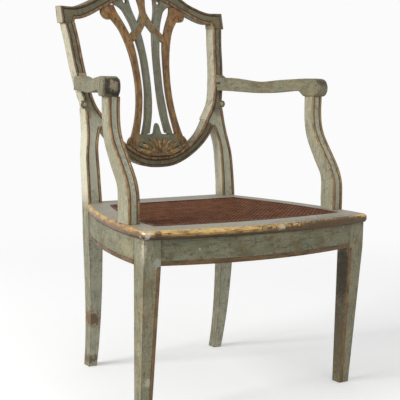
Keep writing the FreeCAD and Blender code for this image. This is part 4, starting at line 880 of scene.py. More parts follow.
@dataclass
class Trim:
    """Thin run of carved wood that lies on the surface of other pieces.

    Attributes:
        wide: Width of its section in metres.
        high: How far it stands out of the surface.
        segments: Sides of its section.
        bm: Mesh that the runs go into.
    """

    wide: float
    high: float
    segments: int = 12
    bm: bmesh.types.BMesh = field(default_factory=bmesh.new)

    def run(self, places: Sequence[Vector], normals: Sequence[Vector],
            closed: bool = False) -> None:
        """Sweeps the section along a line.

        Args:
            places: Points of the line on the carrying surface.
            normals: Direction out of that surface at each point.
            closed: Whether the line ends where it starts.
        """
        if len(places) < 3:
            return
        count = len(places)
        smooth = list(normals)
        for _ in range(3):
            smooth = [(smooth[i - 1 if closed or i else 0] + smooth[i] * 2
                       + smooth[(i + 1) % count if closed else min(i + 1, count - 1)]).normalized()
                      for i in range(count)]
        stations = []
        order = list(range(count)) + ([0] if closed else [])
        for i in order:
            before = places[i - 1] if closed or i else places[0]
            after = places[(i + 1) % count] if closed else places[min(i + 1, count - 1)]
            along = (after - before).normalized()
            side = along.cross(smooth[i]).normalized()
            out = side.cross(along).normalized()
            m = Matrix((side * self.wide * 0.5, out * self.high, along)).transposed().to_4x4()
            m.translation = places[i]
            stations.append(m)
        bm = self.bm
        first = bmesh.ops.create_circle(bm, cap_ends=not closed, segments=self.segments,
                                        radius=1.0, matrix=stations[0])
        ring = set(first["verts"])
        edges = [e for e in bm.edges if e.verts[0] in ring and e.verts[1] in ring]
        for old, new in zip(stations, stations[1:]):
            grown = bmesh.ops.extrude_edge_only(bm, edges=edges)["geom"]
            ring = {g for g in grown if isinstance(g, bmesh.types.BMVert)}
            edges = [g for g in grown if isinstance(g, bmesh.types.BMEdge)
                     and g.verts[0] in ring and g.verts[1] in ring]
            bmesh.ops.transform(bm, matrix=new @ old.inverted(), verts=list(ring))
        if not closed:
            bmesh.ops.edgeloop_fill(bm, edges=edges)

    def laid(self, surface: BVHTree, line: Sequence[Vector], toward: Vector,
             reach: float = 0.6, closed: bool = False) -> None:
        """Lays the section on a surface.

        Args:
            surface: Where it lies.
            line: Points before the surface.
            toward: Direction in which each point falls on the surface.
            reach: How far it may fall.
            closed: Whether the line ends where it starts.
        """
        places, normals = [], []
        for q in line:
            hit, normal, _, _ = surface.ray_cast(q, toward, reach)
            if hit is not None:
                places.append(hit)
                normals.append(normal if normal.dot(toward) < 0 else -normal)
        self.run(places, normals, closed)

    def piece(self, name: str, material: bpy.types.Material) -> bpy.types.Object:
        """Ends the mesh and gives it its name and finish."""
        return finished(self.bm, name, material)


def finished(bm: bmesh.types.BMesh, name: str, material: bpy.types.Material,
             smooth: bool = True, stands_for: Sequence[str] = ()) -> bpy.types.Object:
    """Turns a bmesh into a finished piece of the chair.

    Args:
        bm: The mesh, already in its place.
        name: Name of the piece.
        material: Its finish.
        smooth: Whether its faces are shaded smooth.
        stands_for: CAD nodes that it replaces.

    Returns:
        The new object, riding on the chair.
    """
    bmesh.ops.remove_doubles(bm, verts=bm.verts, dist=1e-6)
    bmesh.ops.recalc_face_normals(bm, faces=bm.faces)
    mesh = bpy.data.meshes.new(name)
    bm.to_mesh(mesh)
    bm.free()
    if smooth:
        mesh.shade_smooth()
    mesh.materials.append(material)
    made = bpy.data.objects.new(name, mesh)
    bpy.context.scene.collection.objects.link(made)
    if smooth:
        mesh.set_sharp_from_angle(angle=math.radians(50))
    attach(made, "root")
    if stands_for:
        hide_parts(*stands_for)
    log.info("%s: %d faces", name, len(mesh.polygons))
    return made


def arris(surface: BVHTree, heights: Sequence[float], middle: Callable[[float], float],
          side: float, inset: float, before: float = -0.6) -> list[Vector]:
    """Line beside the front arris of an upright piece.

    Args:
        surface: The piece.
        heights: Heights of the points.
        middle: Gives an X inside the piece at a height.
        side: 1 for the arris with the larger X, -1 for the other.
        inset: Distance of the line inside the arris.
        before: Y from which the front face is looked for.

    Returns:
        Points in front of the piece, ready to be laid on it.
    """
    out = []
    for z in heights:
        x = middle(z)
        hit, _, _, _ = surface.ray_cast(Vector((x, before, z)), Vector((0, 1, 0)), 1.5)
        if hit is None:
            continue
        start = Vector((x + side * 0.08, hit.y + 0.003, z))
        edge, _, _, _ = surface.ray_cast(start, Vector((-side, 0, 0)), 0.08)
        if edge is not None:
            out.append(Vector((edge.x - side * inset, hit.y - 0.05, z)))
    return out


def span(low: float, high: float, step: float) -> list[float]:
    """Even numbers from low to high."""
    count = max(2, int(abs(high - low) / step))
    return [low + (high - low) * i / count for i in range(count + 1)]


# the chair

@dataclass
class PaintedFrame:
    """The joined wooden pieces that come from the CAD, each with its own painted finish.

    Attributes:
        nodes: CAD nodes by name.
    """

    nodes: dict[str, bpy.types.Object]

    def dress(self) -> None:
        """Gives every visible CAD node its material."""
        # Painted light: the sides of the crest and the lower rail take a creamy tone.
        sage = DistemperOnGesso("sage_distemper_shield", ground="#655b3f", pale="#857a5c",
                                cool="#767c68",
                                dirt=0.65, flank_share=0.6)
        front_leg = DistemperOnGesso(
            "sage_distemper_front_legs", ground="#7b7457", pale="#a39a7c", dirt=0.65,
            spots=(Spot((-0.305, -0.277, 0.378), (0.007, 0.012, 0.022), "#bdb6a0", 1.4, 0.8),
                   Spot((-0.282, -0.262, 0.085), (0.01, 0.02, 0.01), "#b9b3a2"),
                   Spot((0.262, -0.255, 0.27), (0.006, 0.04, 0.09), "#3a3020", 0.6, 0.9),
                   Spot((0.265, -0.245, 0.10), (0.006, 0.04, 0.13), "#5a4a33", 0.8, 0.8),
                   Spot((-0.262, -0.277, 0.35), (0.02, 0.02, 0.014), "#a4a697")))
        # Painted light on the stiles' sides above the seat, and painted shade on them below it.
        rear = DistemperOnGesso(
            "sage_distemper_stiles", ground="#b9b79e", pale="#c6c1a8", flank_share=0.8,
            flank_from=0.43, high="#5f5639",
            spots=(Spot((-0.20, 0.15, 0.53), (0.06, 0.12, 0.10), "#d2d3bd", 0.7, 0.6),
                   Spot((0.20, 0.15, 0.53), (0.06, 0.12, 0.10), "#c9c8b0", 0.7, 0.4),
                   Spot((-0.205, 0.16, 0.13), (0.03, 0.03, 0.022), "#6d5236"),
                   Spot((-0.205, 0.19, 0.02), (0.04, 0.05, 0.012), "#6a5a45")))
        # The rails' inner faces and undersides: dark bare wood, partly painted shade under the
        # seat.
        rails = DistemperOnGesso(
            "sage_distemper_rails", ground="#6b6549", pale="#8d876a", dirt=0.8, cloud=0.65,
            grain=(6.0, 6.0, 1.0), inside="#4c3a28",
            spots=(Spot((-0.262, -0.29, 0.378), (0.006, 0.03, 0.03), "#4b4436", 1.0, 0.7),
                   Spot((-0.30, -0.20, 0.375), (0.012, 0.05, 0.02), "#a39a76", 1.5, 0.5)))
        arm = DistemperOnGesso(
            "sage_distemper_arms", ground="#716b51", pale="#918668", cloud=0.55, dirt=0.65,
            bole="#54422b",
            grain=(1.0, 6.0, 1.0), wear=0.9,
            spots=(Spot((-0.297, -0.121, 0.722), (0.042, 0.018, 0.046), "#2a2118", 0.6, 0.95),
                   Spot((-0.295, -0.119, 0.722), (0.011, 0.014, 0.013), "#93866a", 1.1, 0.8),
                   Spot((0.297, -0.113, 0.735), (0.03, 0.02, 0.012), "#4b3a2b", 1.3, 0.8),
                   Spot((-0.212, 0.20, 0.744), (0.024, 0.03, 0.008), "#a07d6c", 0.8, 0.8),
                   Spot((0.212, 0.20, 0.744), (0.024, 0.03, 0.008), "#5b4838", 0.8, 0.8)))
        # Painted shade: the supports' sides take a darker tone.
        support = DistemperOnGesso("sage_distemper_supports", ground="#b8b69e", pale="#c2bca1",
                                   dirt=0.55, flank="#99947b", flank_share=0.7,
                                   spots=(Spot((-0.312, -0.13, 0.54), (0.016, 0.09, 0.13),
                                               "#8b866c", 0.8, 0.65),))
        splat = GiltRibbedSplat(
            "sage_and_gilt_splat",
            DistemperOnGesso("splat_paint", ground="#6f6d59", pale="#8c8a72", dirt=0.55,
                             bole="#5f4a2f", wear=0.9),
            WaterGilding("splat_gold", leaf="#9a7745", bole="#6b4a2a", dark="#3b2b1a",
                         gone=0.5, sheen=0.25, along=(1.0, 1.0, 3.0)))
        paint = DistemperOnGesso("moulding_paint", ground="#a1988a", pale="#b7af9f",
                                 grime="#6c6252", dirt=0.35, wear=0.0)
        gold = WaterGilding(
            "moulding_gold", leaf="#dcb671", bole="#76583a", dark="#2a2015", gone=0.46,
            sheen=0.8, along=(3.0, 3.0, 0.6),
            spots=(Spot((-0.318, -0.12, 0.415), (0.03, 0.11, 0.02), "#8b6a50", 1.6, 0.7),
                   Spot((-0.302, -0.281, 0.416), (0.012, 0.014, 0.012), "#b9b3a6", 2.2, 0.7),
                   Spot((-0.28, -0.295, 0.413), (0.008, 0.02, 0.012), "#4a3624", 1.8, 0.6),
                   Spot((-0.325, -0.205, 0.414), (0.008, 0.02, 0.006), "#ddd3c4", 1.5),
                   Spot((0.16, -0.31, 0.413), (0.19, 0.04, 0.02), "#58432b", 1.2, 0.85),
                   Spot((0.02, -0.326, 0.417), (0.010, 0.02, 0.006), "#c2b39f", 1.6, 0.8)))
        moulded = GiltNosedPaint("gilt_nosed_seat_frame", paint, gold).material()
        carving = DistemperOnGesso("shell_ground", ground="#6d6b58", pale="#8a7a5a",
                                   bole="#8a6a3c", wear=0.9).material()
        beech = SawnBeech("sawn_beech").material()
        iron = BlackenedIron("blackened_iron").material()
        cane = StainedCane("stained_binding_cane", "#7b5a48", "#40291f").material()
        pairs: dict[str, bpy.types.Material] = {}
        for finish, names in (
                (sage, ("crest_rail", "shield_lower_rail")),
                (rear, ("rear_left_stile", "rear_right_stile")),
                (front_leg, ("front_left_leg", "front_right_leg")),
                (rails, ("front_seat_rail", "left_seat_rail", "right_seat_rail",
                         "rear_seat_rail")),
                (arm, ("left_arm", "right_arm")),
                (support, ("left_arm_support", "right_arm_support")),
                (splat, ("splat",))):
            material = finish.material()
            pairs.update({n: material for n in names})
        for name in self.nodes:
            if name.startswith("seat_frame"):
                pairs[name] = moulded
            elif name.endswith("corner_block"):
                pairs[name] = beech
            elif name.endswith("screws"):
                pairs[name] = iron
        pairs["shell_carving"] = carving
        pairs["cane_binding"] = cane
        pairs["cane_panel"] = cane
        for name, item in self.nodes.items():
            item.data.materials.clear()
            item.data.materials.append(pairs[name])
            log.info("%s: %s", name, pairs[name].name)


@dataclass
class ShieldMoulding:
    """Beads and quirks on the front of the shield, mitred round the ears into the crest.

    Attributes:
        nodes: CAD nodes by name.
        edge: Half width and height of the shield's outer edge, from the ear to the lowest
            point, in millimetres.
        crest_top: Upper edge of the crest, from the ear to the middle.
        crest_low: Lower edge of the crest.
        band: Width of the shield's frame.
    """

    nodes: dict[str, bpy.types.Object]
    band: float = 27.0
    edge: tuple[tuple[float, float], ...] = (
        (233.0, 866), (226.5, 820), (221, 762), (212, 704), (198, 654), (173, 615), (144.5, 575),
        (100, 536), (50, 511), (0, 505))
    crest_top: tuple[tuple[float, float], ...] = (
        (240, 908), (203, 907), (180, 912), (160, 919.5), (140, 928.5), (123, 940), (100, 957),
        (60, 977), (0, 984))
    crest_low: tuple[tuple[float, float], ...] = (
        (205.3, 877), (189.8, 877.5), (169.8, 883), (149.8, 891.5), (130.8, 901), (109.8, 911),
        (79.8, 926), (39.8, 939), (0, 944))

    def lines(self, inset: float, outside: bool) -> list[list[Vector]]:
        """Lines of one bead in the front view.

        Args:
            inset: Distance of the bead's middle from its edge, in millimetres.
            outside: Whether it follows the outer edge or the inner one.

        Returns:
            Lines as plane points in millimetres, each unbroken and smooth.
        """
        loop = [*self.edge, *((-x, z) for x, z in self.edge[-2::-1])]
        run = curve_through(loop, 4.0)
        away = inset if outside else self.band - inset
        shield = offset(run, away)
        crest = self.crest_top if outside else self.crest_low
        arch = curve_through([*crest, *((-x, z) for x, z in crest[-2::-1])], 4.0)
        arch = offset(arch, -inset if outside else inset)
        out: list[list[Vector]] = []
        if outside:
            out.append([q for q in shield if q.x > 0 and q.y > 677])
            out.append([q for q in shield if q.x < 0 and q.y > 677])
            out.append([q for q in shield if q.y < 611 and abs(q.x) < 169])
            ear = 240.0 - inset
            out.append([q for q in arch if abs(q.x) < ear + 0.01])
            for s in (1, -1):
                out.append([Vector((s * ear, z)) for z in span(866.5, 908 - inset, 4)])
        else:
            out.append(shield)
            out.append(arch)
            x, z = abs(shield[0].x), arch[0].y
            for s in (1, -1):
                out.append([Vector((s * (x + (abs(arch[0].x) - x) * t), 866 + (z - 866) * t))
                            for t in (0, 0.25, 0.5, 0.75, 1.0, 1.12)])
        return out

    def build(self) -> None:
        """Lays the two beads and the dark quirk beside the inner one, a raised dark line that
        paints the groove's shade and dirt.
        """
        surface = hull_of(self.nodes[n] for n in ("rear_left_stile", "rear_right_stile",
                                                  "crest_rail", "shield_lower_rail"))
        rust = WaterGilding("worn_gilt_shield_beads", leaf="#9b7e58", bole="#69492f",
                            dark="#37291a", gone=0.5, sheen=0.2, along=(1, 1, 3)).material()
        # Dark quirk lines: painted shade of the grooves beside the beads, with their dirt.
        dark = WaterGilding("quirk_shade_and_dirt_lines", leaf="#5b452d", bole="#33271a", gone=0.6,
                            sheen=0.05).material()
        brown = WaterGilding("worn_outer_beads", leaf="#85704f", bole="#524029", gone=0.53,
                             sheen=0.15, along=(1, 1, 3)).material()
        for name, wide, high, inset, outside, material in (
                ("shield_outer_bead", 5.6, 2.6, 2.8, True, brown),
                ("shield_inner_bead", 7.4, 3.0, 3.8, False, rust),
                ("shield_inner_quirk_shade", 2.6, 1.0, 8.6, False, dark),
                ("shield_outer_quirk_shade", 2.2, 0.8, 6.6, True, dark)):
            trim = Trim(wide * MM, high * MM)
            for line in self.lines(inset, outside):
                trim.laid(surface, [Vector((q.x * MM, -0.5, q.y * MM)) for q in line],
                          Vector((0, 1, 0)), 1.5)
            trim.piece(name, material)


@dataclass
class UprightLines:
    """Gilt lines on the fronts of the uprights and the arm supports, and the round knuckles.

    Attributes:
        nodes: CAD nodes by name.
        knuckle: Distance from the middle and height of the knuckles, in millimetres.
        ring: Radius of the ring on a knuckle.
        boss: Radius and height of the boss inside it.
    """

    nodes: dict[str, bpy.types.Object]
    knuckle: tuple[float, float] = (204.5, 666.5)
    ring: float = 7.2
    boss: tuple[float, float] = (5.8, 3.6)

    def build(self) -> None:
        """Lays the lines and carves the knuckles."""
        gilt = WaterGilding("worn_gilt_upright_lines", leaf="#9c8156", bole="#6f5539",
                            dark="#43331f", gone=0.48, sheen=0.3, along=(1, 1, 4)).material()
        # Dark quirk lines beside the gilt lines: painted shade of the grooves, with their dirt.
        dark = WaterGilding("upright_quirk_shade_and_dirt", leaf="#7a5636", bole="#5a4230", gone=0.62,
                            sheen=0.05).material()
        pale = DistemperOnGesso("knuckle_paint", ground="#a29c86", pale="#c4bca6",
                                wear=0.3).material()
        lines = Trim(6.4 * MM, 2.4 * MM)
        # Raised dark lines that paint the shade of the quirk grooves, with their dirt.
        quirks = Trim(2.0 * MM, 0.8 * MM)
        rings = Trim(2.4 * MM, 1.6 * MM)
        for side in Side:
            s = side.value
            stile = hull_of([self.nodes[f"rear_{side.word}_stile"]])
            post = hull_of([self.nodes[f"{side.word}_arm_support"]])
            for edge in (-1, 1):
                low = 650.0 if edge == s else 612.0
                for trim, inset in ((lines, 3.3), (quirks, 7.5)):
                    trim.laid(stile, arris(stile, [z * MM for z in span(426, low, 5)],
                                           lambda z: s * (0.199 - 0.09 * max(0.0, z - 0.56)),
                                           edge, inset * MM, -0.2), Vector((0, 1, 0)))
                    trim.laid(post, arris(post, [z * MM for z in span(426, 697, 5)],
                                          lambda z: s * 0.286, edge, inset * MM),
                              Vector((0, 1, 0)))
            x, z = self.knuckle
            ring = [Vector(((s * x + self.ring * math.cos(a)) * MM, -0.2,
                            (z + self.ring * math.sin(a)) * MM))
                    for a in (math.tau * k / 20 for k in range(20))]
            rings.laid(stile, ring, Vector((0, 1, 0)), 1.0, True)
        lines.piece("upright_gilt_lines", gilt)
        quirks.piece("upright_quirk_shade_lines", dark)
        rings.piece("stile_knuckle_rings", gilt)
        bosses = bmesh.new()
        for side in Side:
            stile = hull_of([self.nodes[f"rear_{side.word}_stile"]])
            x, z = self.knuckle
            start = Vector((side.value * x * MM, -0.2, z * MM))
            hit, normal, _, _ = stile.ray_cast(start, Vector((0, 1, 0)), 1.0)
            if hit is not None:
                turn = Vector((0, 0, 1)).rotation_difference(normal).to_matrix().to_4x4()
                wide, high = (size * MM for size in self.boss)
                size = Matrix.Diagonal((wide, wide, high, 1.0))
                bmesh.ops.create_uvsphere(bosses, u_segments=20, v_segments=10, radius=1.0,
                                          matrix=Matrix.Translation(hit) @ turn @ size)
        finished(bosses, "stile_knuckle_bosses", pale)


@dataclass
class ArmEnds:
    """Round beads on both cheeks of the arms' rolled ends.

    Attributes:
        nodes: CAD nodes by name.
        front: Tip of the arm's own axis in plan, in millimetres.
        turn: How far the arm's axis turns in from straight back, in degrees.
        roll: Height of the roll's centre, and its distance behind the tip.
        radius: Radius of the bead.
        half: Half width of the arm at the roll. Not used.
    """

    nodes: dict[str, bpy.types.Object]
    front: tuple[float, float] = (298.3, -117.0)
    turn: float = 15.1
    roll: tuple[float, float] = (720.0, 22.0)
    radius: float = 16.5
    half: float = 19.0

    def build(self) -> None:
        """Lays a round bead on each cheek."""
        line = DistemperOnGesso("arm_bead_paint", ground="#837b62", pale="#a3987c",
                                bole="#5b4630", wear=0.3, dirt=0.7).material()
        beads = Trim(2.6 * MM, 1.5 * MM)
        for side in Side:
            s = side.value
            arm = hull_of([self.nodes[f"{side.word}_arm"]])
            a = math.radians(self.turn)
            back = Vector((-s * math.sin(a), math.cos(a), 0))
            out = Vector((math.cos(a), s * math.sin(a), 0))
            centre = Vector((s * self.front[0] * MM, self.front[1] * MM, self.roll[0] * MM))
            centre += back * self.roll[1] * MM
            for way in (1, -1):
                ring = [centre + out * way * 0.05 + back * (self.radius * MM * math.cos(t))
                        + Vector((0, 0, self.radius * MM * math.sin(t)))
                        for t in (math.tau * k / 40 for k in range(40))]
                beads.laid(arm, ring, -out * way, 0.06, True)
        beads.piece("arm_end_beads", line)


@dataclass
class LegAndRailBands:
    """Gilt brown bands along the feet of the rails and down the arrises of the legs.

    Attributes:
        nodes: CAD nodes by name.
        rail_low: Height of the rails' lower edge in millimetres.
        band_high: Height of the band on the rails.
    """

    nodes: dict[str, bpy.types.Object]
    rail_low: float = 345.0
    band_high: float = 11.0

    def build(self) -> None:
        """Lays the bands on the front and side rails and on the two front legs."""
        brown = WaterGilding("worn_gilt_rail_bands", leaf="#765a31", bole="#4c3820", gone=0.5,
                             sheen=0.3, along=(4, 4, 1)).material()
        thin = WaterGilding("worn_gilt_leg_bands", leaf="#86683f", bole="#5f4a2f",
                            dark="#3c2f1c", gone=0.5, sheen=0.2, along=(1, 1, 4)).material()
        bands = Trim(self.band_high * MM, 1.6 * MM, 16)
        z = (self.rail_low + 0.5 * self.band_high) * MM
        front = hull_of([self.nodes["front_seat_rail"]])
        bands.laid(front, [Vector((x * MM, -0.5, z)) for x in span(-262, 262, 8)],
                   Vector((0, 1, 0)), 0.6)
        for side in Side:
            s = side.value
            rail = hull_of([self.nodes[f"{side.word}_seat_rail"]])
            bands.laid(rail, [Vector((s * 0.6, y * MM, z)) for y in span(-233, 147, 8)],
                       Vector((-s, 0, 0)), 0.6)
        bands.piece("rail_gilt_bands", brown)
        lines = Trim(9.6 * MM, 1.3 * MM, 14)
        for side in Side:
            s = side.value
            leg = hull_of([self.nodes[f"front_{side.word}_leg"]])
            lines.laid(leg, arris(leg, [h * MM for h in span(3, 343, 10)],
                                  lambda h: s * 0.2825, -s, 4.9 * MM), Vector((0, 1, 0)))
        lines.piece("leg_gilt_bands", thin)


@dataclass
class SplatCarving:
    """Carved gilt on the splat: the shell's lobes, leaves on the ribs' heads and volutes.

    Attributes:
        nodes: CAD nodes by name.
        root: Height of the point that the shell's lobes spring from, in millimetres.
        lobes: Angle from the right, length and width of each lobe.
        leaf_at: Distance from the middle and height of the leaves on the outer ribs.
        volute_at: Distance from the middle and height of the volutes.
    """

    nodes: dict[str, bpy.types.Object]
    root: float = 537.0
    lobes: tuple[tuple[float, float, float], ...] = (
        (14, 60, 13), (30, 57, 13), (48, 50, 13), (68, 44, 12), (90, 42, 13), (111, 45, 12),
        (131, 50, 13), (150, 57, 13), (166, 60, 13))
    leaf_at: tuple[float, float] = (104.0, 893.0)
    volute_at: tuple[float, float] = (81.0, 568.0)

    def lobe(self, bm: bmesh.types.BMesh, surface: BVHTree, foot: tuple[float, float],
             angle: float, long: float, wide: float, high: float, start: float = 0.25) -> None:
        """Carves one pointed lobe on the surface.

        Args:
            bm: Mesh that gets the lobe.
            surface: What it lies on.
            foot: Point that it springs from, in the front view.
            angle: Its direction in degrees from the right.
            long: Distance from the foot to its tip.
            wide: Its width.
            high: How far it stands out.
            start: Share of the length that stays bare at the foot.
        """
        a = math.radians(angle)
        along = Vector((math.cos(a), 0, math.sin(a)))
        mid = 0.5 * (1 + start) * long
        ends = []
        for d in (start * long, mid, 0.97 * long):
            q = Vector((foot[0] * MM, 0, foot[1] * MM)) + along * d * MM
            hit, normal, _, _ = surface.ray_cast(q - Vector((0, 0.4, 0)), Vector((0, 1, 0)), 0.9)
            if hit is not None:
                ends.append((hit, normal))
        if len(ends) < 2:
            return
        run = (ends[-1][0] - ends[0][0]).normalized()
        middle = (ends[-1][0] + ends[0][0]) * 0.5
        out = ends[len(ends) // 2][1]
        side = run.cross(out).normalized()
        out = side.cross(run).normalized()
        half = 0.5 * (ends[-1][0] - ends[0][0]).length * 1.08
        m = Matrix((side * 0.5 * wide * MM, out * high * MM, run * half)).transposed().to_4x4()
        m.translation = middle
        made = bmesh.ops.create_uvsphere(bm, u_segments=16, v_segments=12, radius=1.0)["verts"]
        for v in made:
            swell = 0.72 + 0.34 * v.co.z
            groove = 1.0 - 0.34 * math.exp(-(v.co.x / 0.22) ** 2) if v.co.y > 0 else 1.0
            v.co.x *= swell
            v.co.y *= (0.75 + 0.3 * v.co.z) * groove
        bmesh.ops.transform(bm, matrix=m, verts=made)

    def build(self) -> None:
        """Carves the shell, the leaves and the volutes."""
        gold = WaterGilding("worn_gilt_shell", leaf="#ad8d5a", bole="#735636", gone=0.5,
                            sheen=0.5).material()
        leafy = WaterGilding("brown_gilt_leaves", leaf="#a47439", bole="#7a5029", gone=0.5,
                             sheen=0.25).material()
        dark = WaterGilding("dark_volute_lines", leaf="#8a6a42", bole="#4b3a28", gone=0.5,
                            sheen=0.15).material()
        surface = hull_of([self.nodes["shell_carving"], self.nodes["splat"]])
        shell = bmesh.new()
        for angle, long, wide in self.lobes:
            self.lobe(shell, surface, (0, self.root), angle, long, wide, 3.4)
        for angle in (40, 65, 90, 115, 140):
            self.lobe(shell, surface, (0, self.root), angle, 27, 8, 3.6, 0.2)
        finished(shell, "shell_gilt_lobes", gold)
        plain = hull_of([self.nodes["splat"]])
        leaves = bmesh.new()
        for s in (1, -1):
            x, z = self.leaf_at
            for turn, long, wide in ((0, 22, 9), (38, 18, 8), (-38, 18, 8), (78, 13, 7),
                                     (-78, 13, 7)):
                base = 35 + turn
                self.lobe(leaves, plain, (s * (x - 8), z - 6), base if s > 0 else 180 - base,
                          long, wide, 2.2, 0.15)
        finished(leaves, "rib_head_leaves", leafy)
        scrolls = Trim(2.0 * MM, 1.4 * MM, 8)
        for s in (1, -1):
            x, z = self.volute_at
            turns = [math.tau * 1.35 * k / 34 for k in range(35)]
            line = [Vector(((s * (x - (7.2 - 0.62 * t) * math.cos(t + 0.6))) * MM, -0.2,
                            (z + (7.2 - 0.62 * t) * math.sin(t + 0.6)) * MM)) for t in turns]
            scrolls.laid(plain, line, Vector((0, 1, 0)), 1.0)
        rim = curve_through([(-79, 558), (-64, 548), (-42, 538), (-20, 533.5), (0, 532.5),
                             (20, 533.5), (42, 538), (64, 548), (79, 558)], 4.0)
        edge = Trim(3.4 * MM, 2.0 * MM, 10)
        edge.laid(surface, [Vector((q.x * MM, -0.2, (q.y + 4.0) * MM)) for q in rim],
                  Vector((0, 1, 0)), 1.0)
        scrolls.piece("splat_volute_lines", dark)
        edge.piece("splat_foot_rim", gold)


@dataclass
class CanedSeat:
    """Seat woven from split cane in six runs, held down by its binding.

    All sizes are in millimetres.

    Attributes:
        nodes: CAD nodes by name.
        pitch: Distance between the holes that carry the strands.
        strand: Width of a straight strand.
        cross: Width of a diagonal strand.
        thick: Thickness of one strand.
        low: Height of the rebate that carries the strands.
        step: How much higher each run lies than the one before it.
        grown: How far the strands run on under the binding.
        front_mid: Y of the opening's front edge at the middle.
        front_bow: How far that edge bows forward.
        front_half: Half width of that edge.
        back: Y of the opening's rear edge.
        side_radius: Radius of the chair's bowed sides.
        side_half: Largest half width of those sides.
        side_inset: Distance of the opening inside them.
        side_centre: Y of the centre of their arcs.
    """

    nodes: dict[str, bpy.types.Object]
    pitch: float = 12.5
    strand: float = 1.5
    cross: float = 2.2
    thick: float = 0.55
    low: float = 423.25
    step: float = 0.24
    grown: float = 7.2
    front_mid: float = -250.5
    front_bow: float = 20.0
    front_half: float = 244.0
    back: float = 95.3
    side_radius: float = 1109.9
    side_half: float = 312.0
    side_inset: float = 62.0
    side_centre: float = -286.5

    def inside(self, x: float, y: float) -> bool:
        """Tells whether a point in plan lies in the opening, grown to the strands' ends.

        Args:
            x: Its X in millimetres.
            y: Its Y.

        Returns:
            True inside.
        """
        radius = (self.front_half ** 2 + self.front_bow ** 2) / (2 * self.front_bow)
        front = self.front_mid - self.grown + radius - math.sqrt(radius ** 2 - x * x)
        r = self.side_radius - self.side_inset + self.grown
        side = self.side_half - self.side_radius + math.sqrt(r * r - (y - self.side_centre) ** 2)
        return front < y < self.back + self.grown and abs(x) < side

    def strands(self, bm: bmesh.types.BMesh, angle: float, gap: float, start: float,
                height: float, wide: float) -> int:
        """Lays one run of strands.

        Args:
            bm: Mesh that gets them.
            angle: Direction of the run in plan, in degrees from X.
            gap: Distance between two strands.
            start: Where the first one lies beside the middle.
            height: Height of the strands' lower face.
            wide: Width of a strand.

        Returns:
            How many strands were laid.
        """
        a = math.radians(angle)
        run, side = Vector((math.cos(a), math.sin(a))), Vector((-math.sin(a), math.cos(a)))
        middle = Vector((0.0, -78.0))
        count = 0
        for k in range(-60, 61):
            base = middle + side * (start + k * gap)
            found = [t for t in span(-420, 420, 1.0)
                     if self.inside(*(base + run * t))]
            if len(found) < 12:
                continue
            long = found[-1] - found[0]
            centre = base + run * (0.5 * (found[-1] + found[0]))
            m = (Matrix.Translation(Vector((centre.x, centre.y, height)) * MM)
                 @ Matrix.Rotation(a, 4, "Z")
                 @ Matrix.Diagonal((long * MM, wide * MM, self.thick * MM, 1.0))
                 @ Matrix.Translation((0, 0, 0.5)))
            made = bmesh.ops.create_cube(bm, size=1.0)["verts"]
            top = {v for v in made if v.co.z > 0}
            for v in top:
                v.co.y *= 0.62
            bmesh.ops.transform(bm, matrix=m, verts=made)
            count += 1
        return count

    def build(self) -> None:
        """Weaves the seat."""
        skin = StainedCane("split_cane_seat").material()
        bm = bmesh.new()
        gap = self.pitch
        level = self.low
        for angle, apart, start, wide in (
                (90, gap, -1.2, self.strand), (0, gap, -1.2, self.strand),
                (90, gap, 1.2, self.strand), (0, gap, 1.2, self.strand),
                (45, gap / math.sqrt(2), 0.25 * gap, self.cross),
                (135, gap / math.sqrt(2), 0.25 * gap, self.cross)):
            count = self.strands(bm, angle, apart, start, level, wide)
            log.info("cane run at %d degrees: %d strands", angle, count)
            level += self.step
        finished(bm, "woven_cane_seat", skin, False, ("cane_panel",))


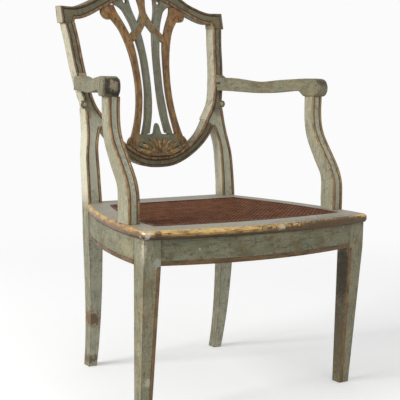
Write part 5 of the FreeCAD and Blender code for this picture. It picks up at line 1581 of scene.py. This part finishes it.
@dataclass
class Studio:
    """Camera, paper, lamps and background.

    Attributes:
        eye: Place of the camera in metres.
        yaw: Turn of the view in degrees.
        pitch: Tilt of the view.
        roll: Roll of the view.
        lens: Focal length for a 36 mm wide sensor.
        shift: Framing of the photograph.
        lamps: Name, place in metres, side in metres and power in watts of each soft lamp.
        paper: Radius of the paper on the floor, in metres.
        sky: Strength of the world's own light.
        shown: Level at which the camera sees the background, the same as the paper's.
    """

    eye: tuple[float, float, float] = (-1.4199, -2.2195, 0.781)
    yaw: float = -34.02885
    pitch: float = -8.77378
    roll: float = 1.28431
    lens: float = 96.788
    shift: tuple[float, float] = (-0.05456, 0.06746)
    lamps: tuple[tuple[str, tuple[float, float, float], float, float], ...] = (
        ("key_lamp", (-5.8, 0.2, 3.3), 2.9, 300.0),
        ("front_lamp", (-0.4, -3.4, 2.4), 2.2, 20.0))
    paper: float = 9.0
    sky: float = 0.5
    shown: float = StudioPaper.shown

    def camera(self) -> None:
        """Sets up the camera as the photograph was taken."""
        y, p, r = (math.radians(a) for a in (self.yaw, self.pitch, self.roll))
        ahead = Vector((-math.sin(y) * math.cos(p), math.cos(y) * math.cos(p), math.sin(p)))
        right = Vector((math.cos(y), math.sin(y), 0))
        up = right.cross(ahead)
        across = right * math.cos(r) + up * math.sin(r)
        upward = up * math.cos(r) - right * math.sin(r)
        data = bpy.data.cameras.new("camera")
        data.sensor_width, data.lens = 36.0, self.lens
        data.shift_x, data.shift_y = self.shift
        data.clip_start, data.clip_end = 0.05, 60.0
        made = bpy.data.objects.new("camera", data)
        made.matrix_world = Matrix.Translation(self.eye) @ Matrix(
            (across, upward, -ahead)).transposed().to_4x4()
        bpy.context.scene.collection.objects.link(made)
        bpy.context.scene.camera = made

    def lamp(self, name: str, place: Sequence[float], size: float, power: float) -> None:
        """Hangs one square soft lamp that looks at the chair.

        Args:
            name: Name of the lamp.
            place: Where it hangs, in metres.
            size: Its side in metres.
            power: Its power in watts.
        """
        data = bpy.data.lights.new(name, "AREA")
        data.shape, data.size, data.energy = "SQUARE", size, power
        made = bpy.data.objects.new(name, data)
        made.location = place
        look = Vector((0, 0, 0.45)) - Vector(place)
        made.rotation_euler = look.to_track_quat("-Z", "Y").to_euler()
        made.visible_camera = False
        bpy.context.scene.collection.objects.link(made)

    def build(self) -> None:
        """Sets the whole studio up."""
        self.camera()
        for lamp in self.lamps:
            self.lamp(*lamp)
        bm = bmesh.new()
        bmesh.ops.create_circle(bm, cap_ends=True, segments=64, radius=self.paper)
        mesh = bpy.data.meshes.new("studio_paper")
        bm.to_mesh(mesh)
        bm.free()
        mesh.materials.append(StudioPaper("studio_paper").material())
        paper = bpy.data.objects.new("studio_paper", mesh)
        bpy.context.scene.collection.objects.link(paper)
        world = bpy.data.worlds.new("studio")
        world.use_nodes = True
        bpy.context.scene.world = world
        p = Palette(world.node_tree)
        white = (1, 1, 1, 1)
        sky = add(p.tree, "ShaderNodeBackground", {"Color": white, "Strength": self.sky})
        seen = add(p.tree, "ShaderNodeBackground", {"Color": white, "Strength": self.shown})
        both = add(p.tree, "ShaderNodeMixShader", {0: seen_by_eye(p), 1: sky.outputs[0],
                                                   2: seen.outputs[0]})
        add(p.tree, "ShaderNodeOutputWorld", {"Surface": both.outputs[0]})
        bpy.context.scene.view_settings.view_transform = "Standard"


def main() -> None:
    """Builds the chair's looks on its frame, piece by piece."""
    logging.basicConfig(level=logging.INFO, format="%(name)s: %(message)s")
    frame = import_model()
    nodes = frame["nodes"]
    Studio().build()
    PaintedFrame(nodes).dress()
    for part in (ShieldMoulding(nodes), UprightLines(nodes), ArmEnds(nodes),
                 LegAndRailBands(nodes), SplatCarving(nodes), CanedSeat(nodes)):
        log.info("building %s", type(part).__name__)
        part.build()


if __name__ == "__main__":
    main()
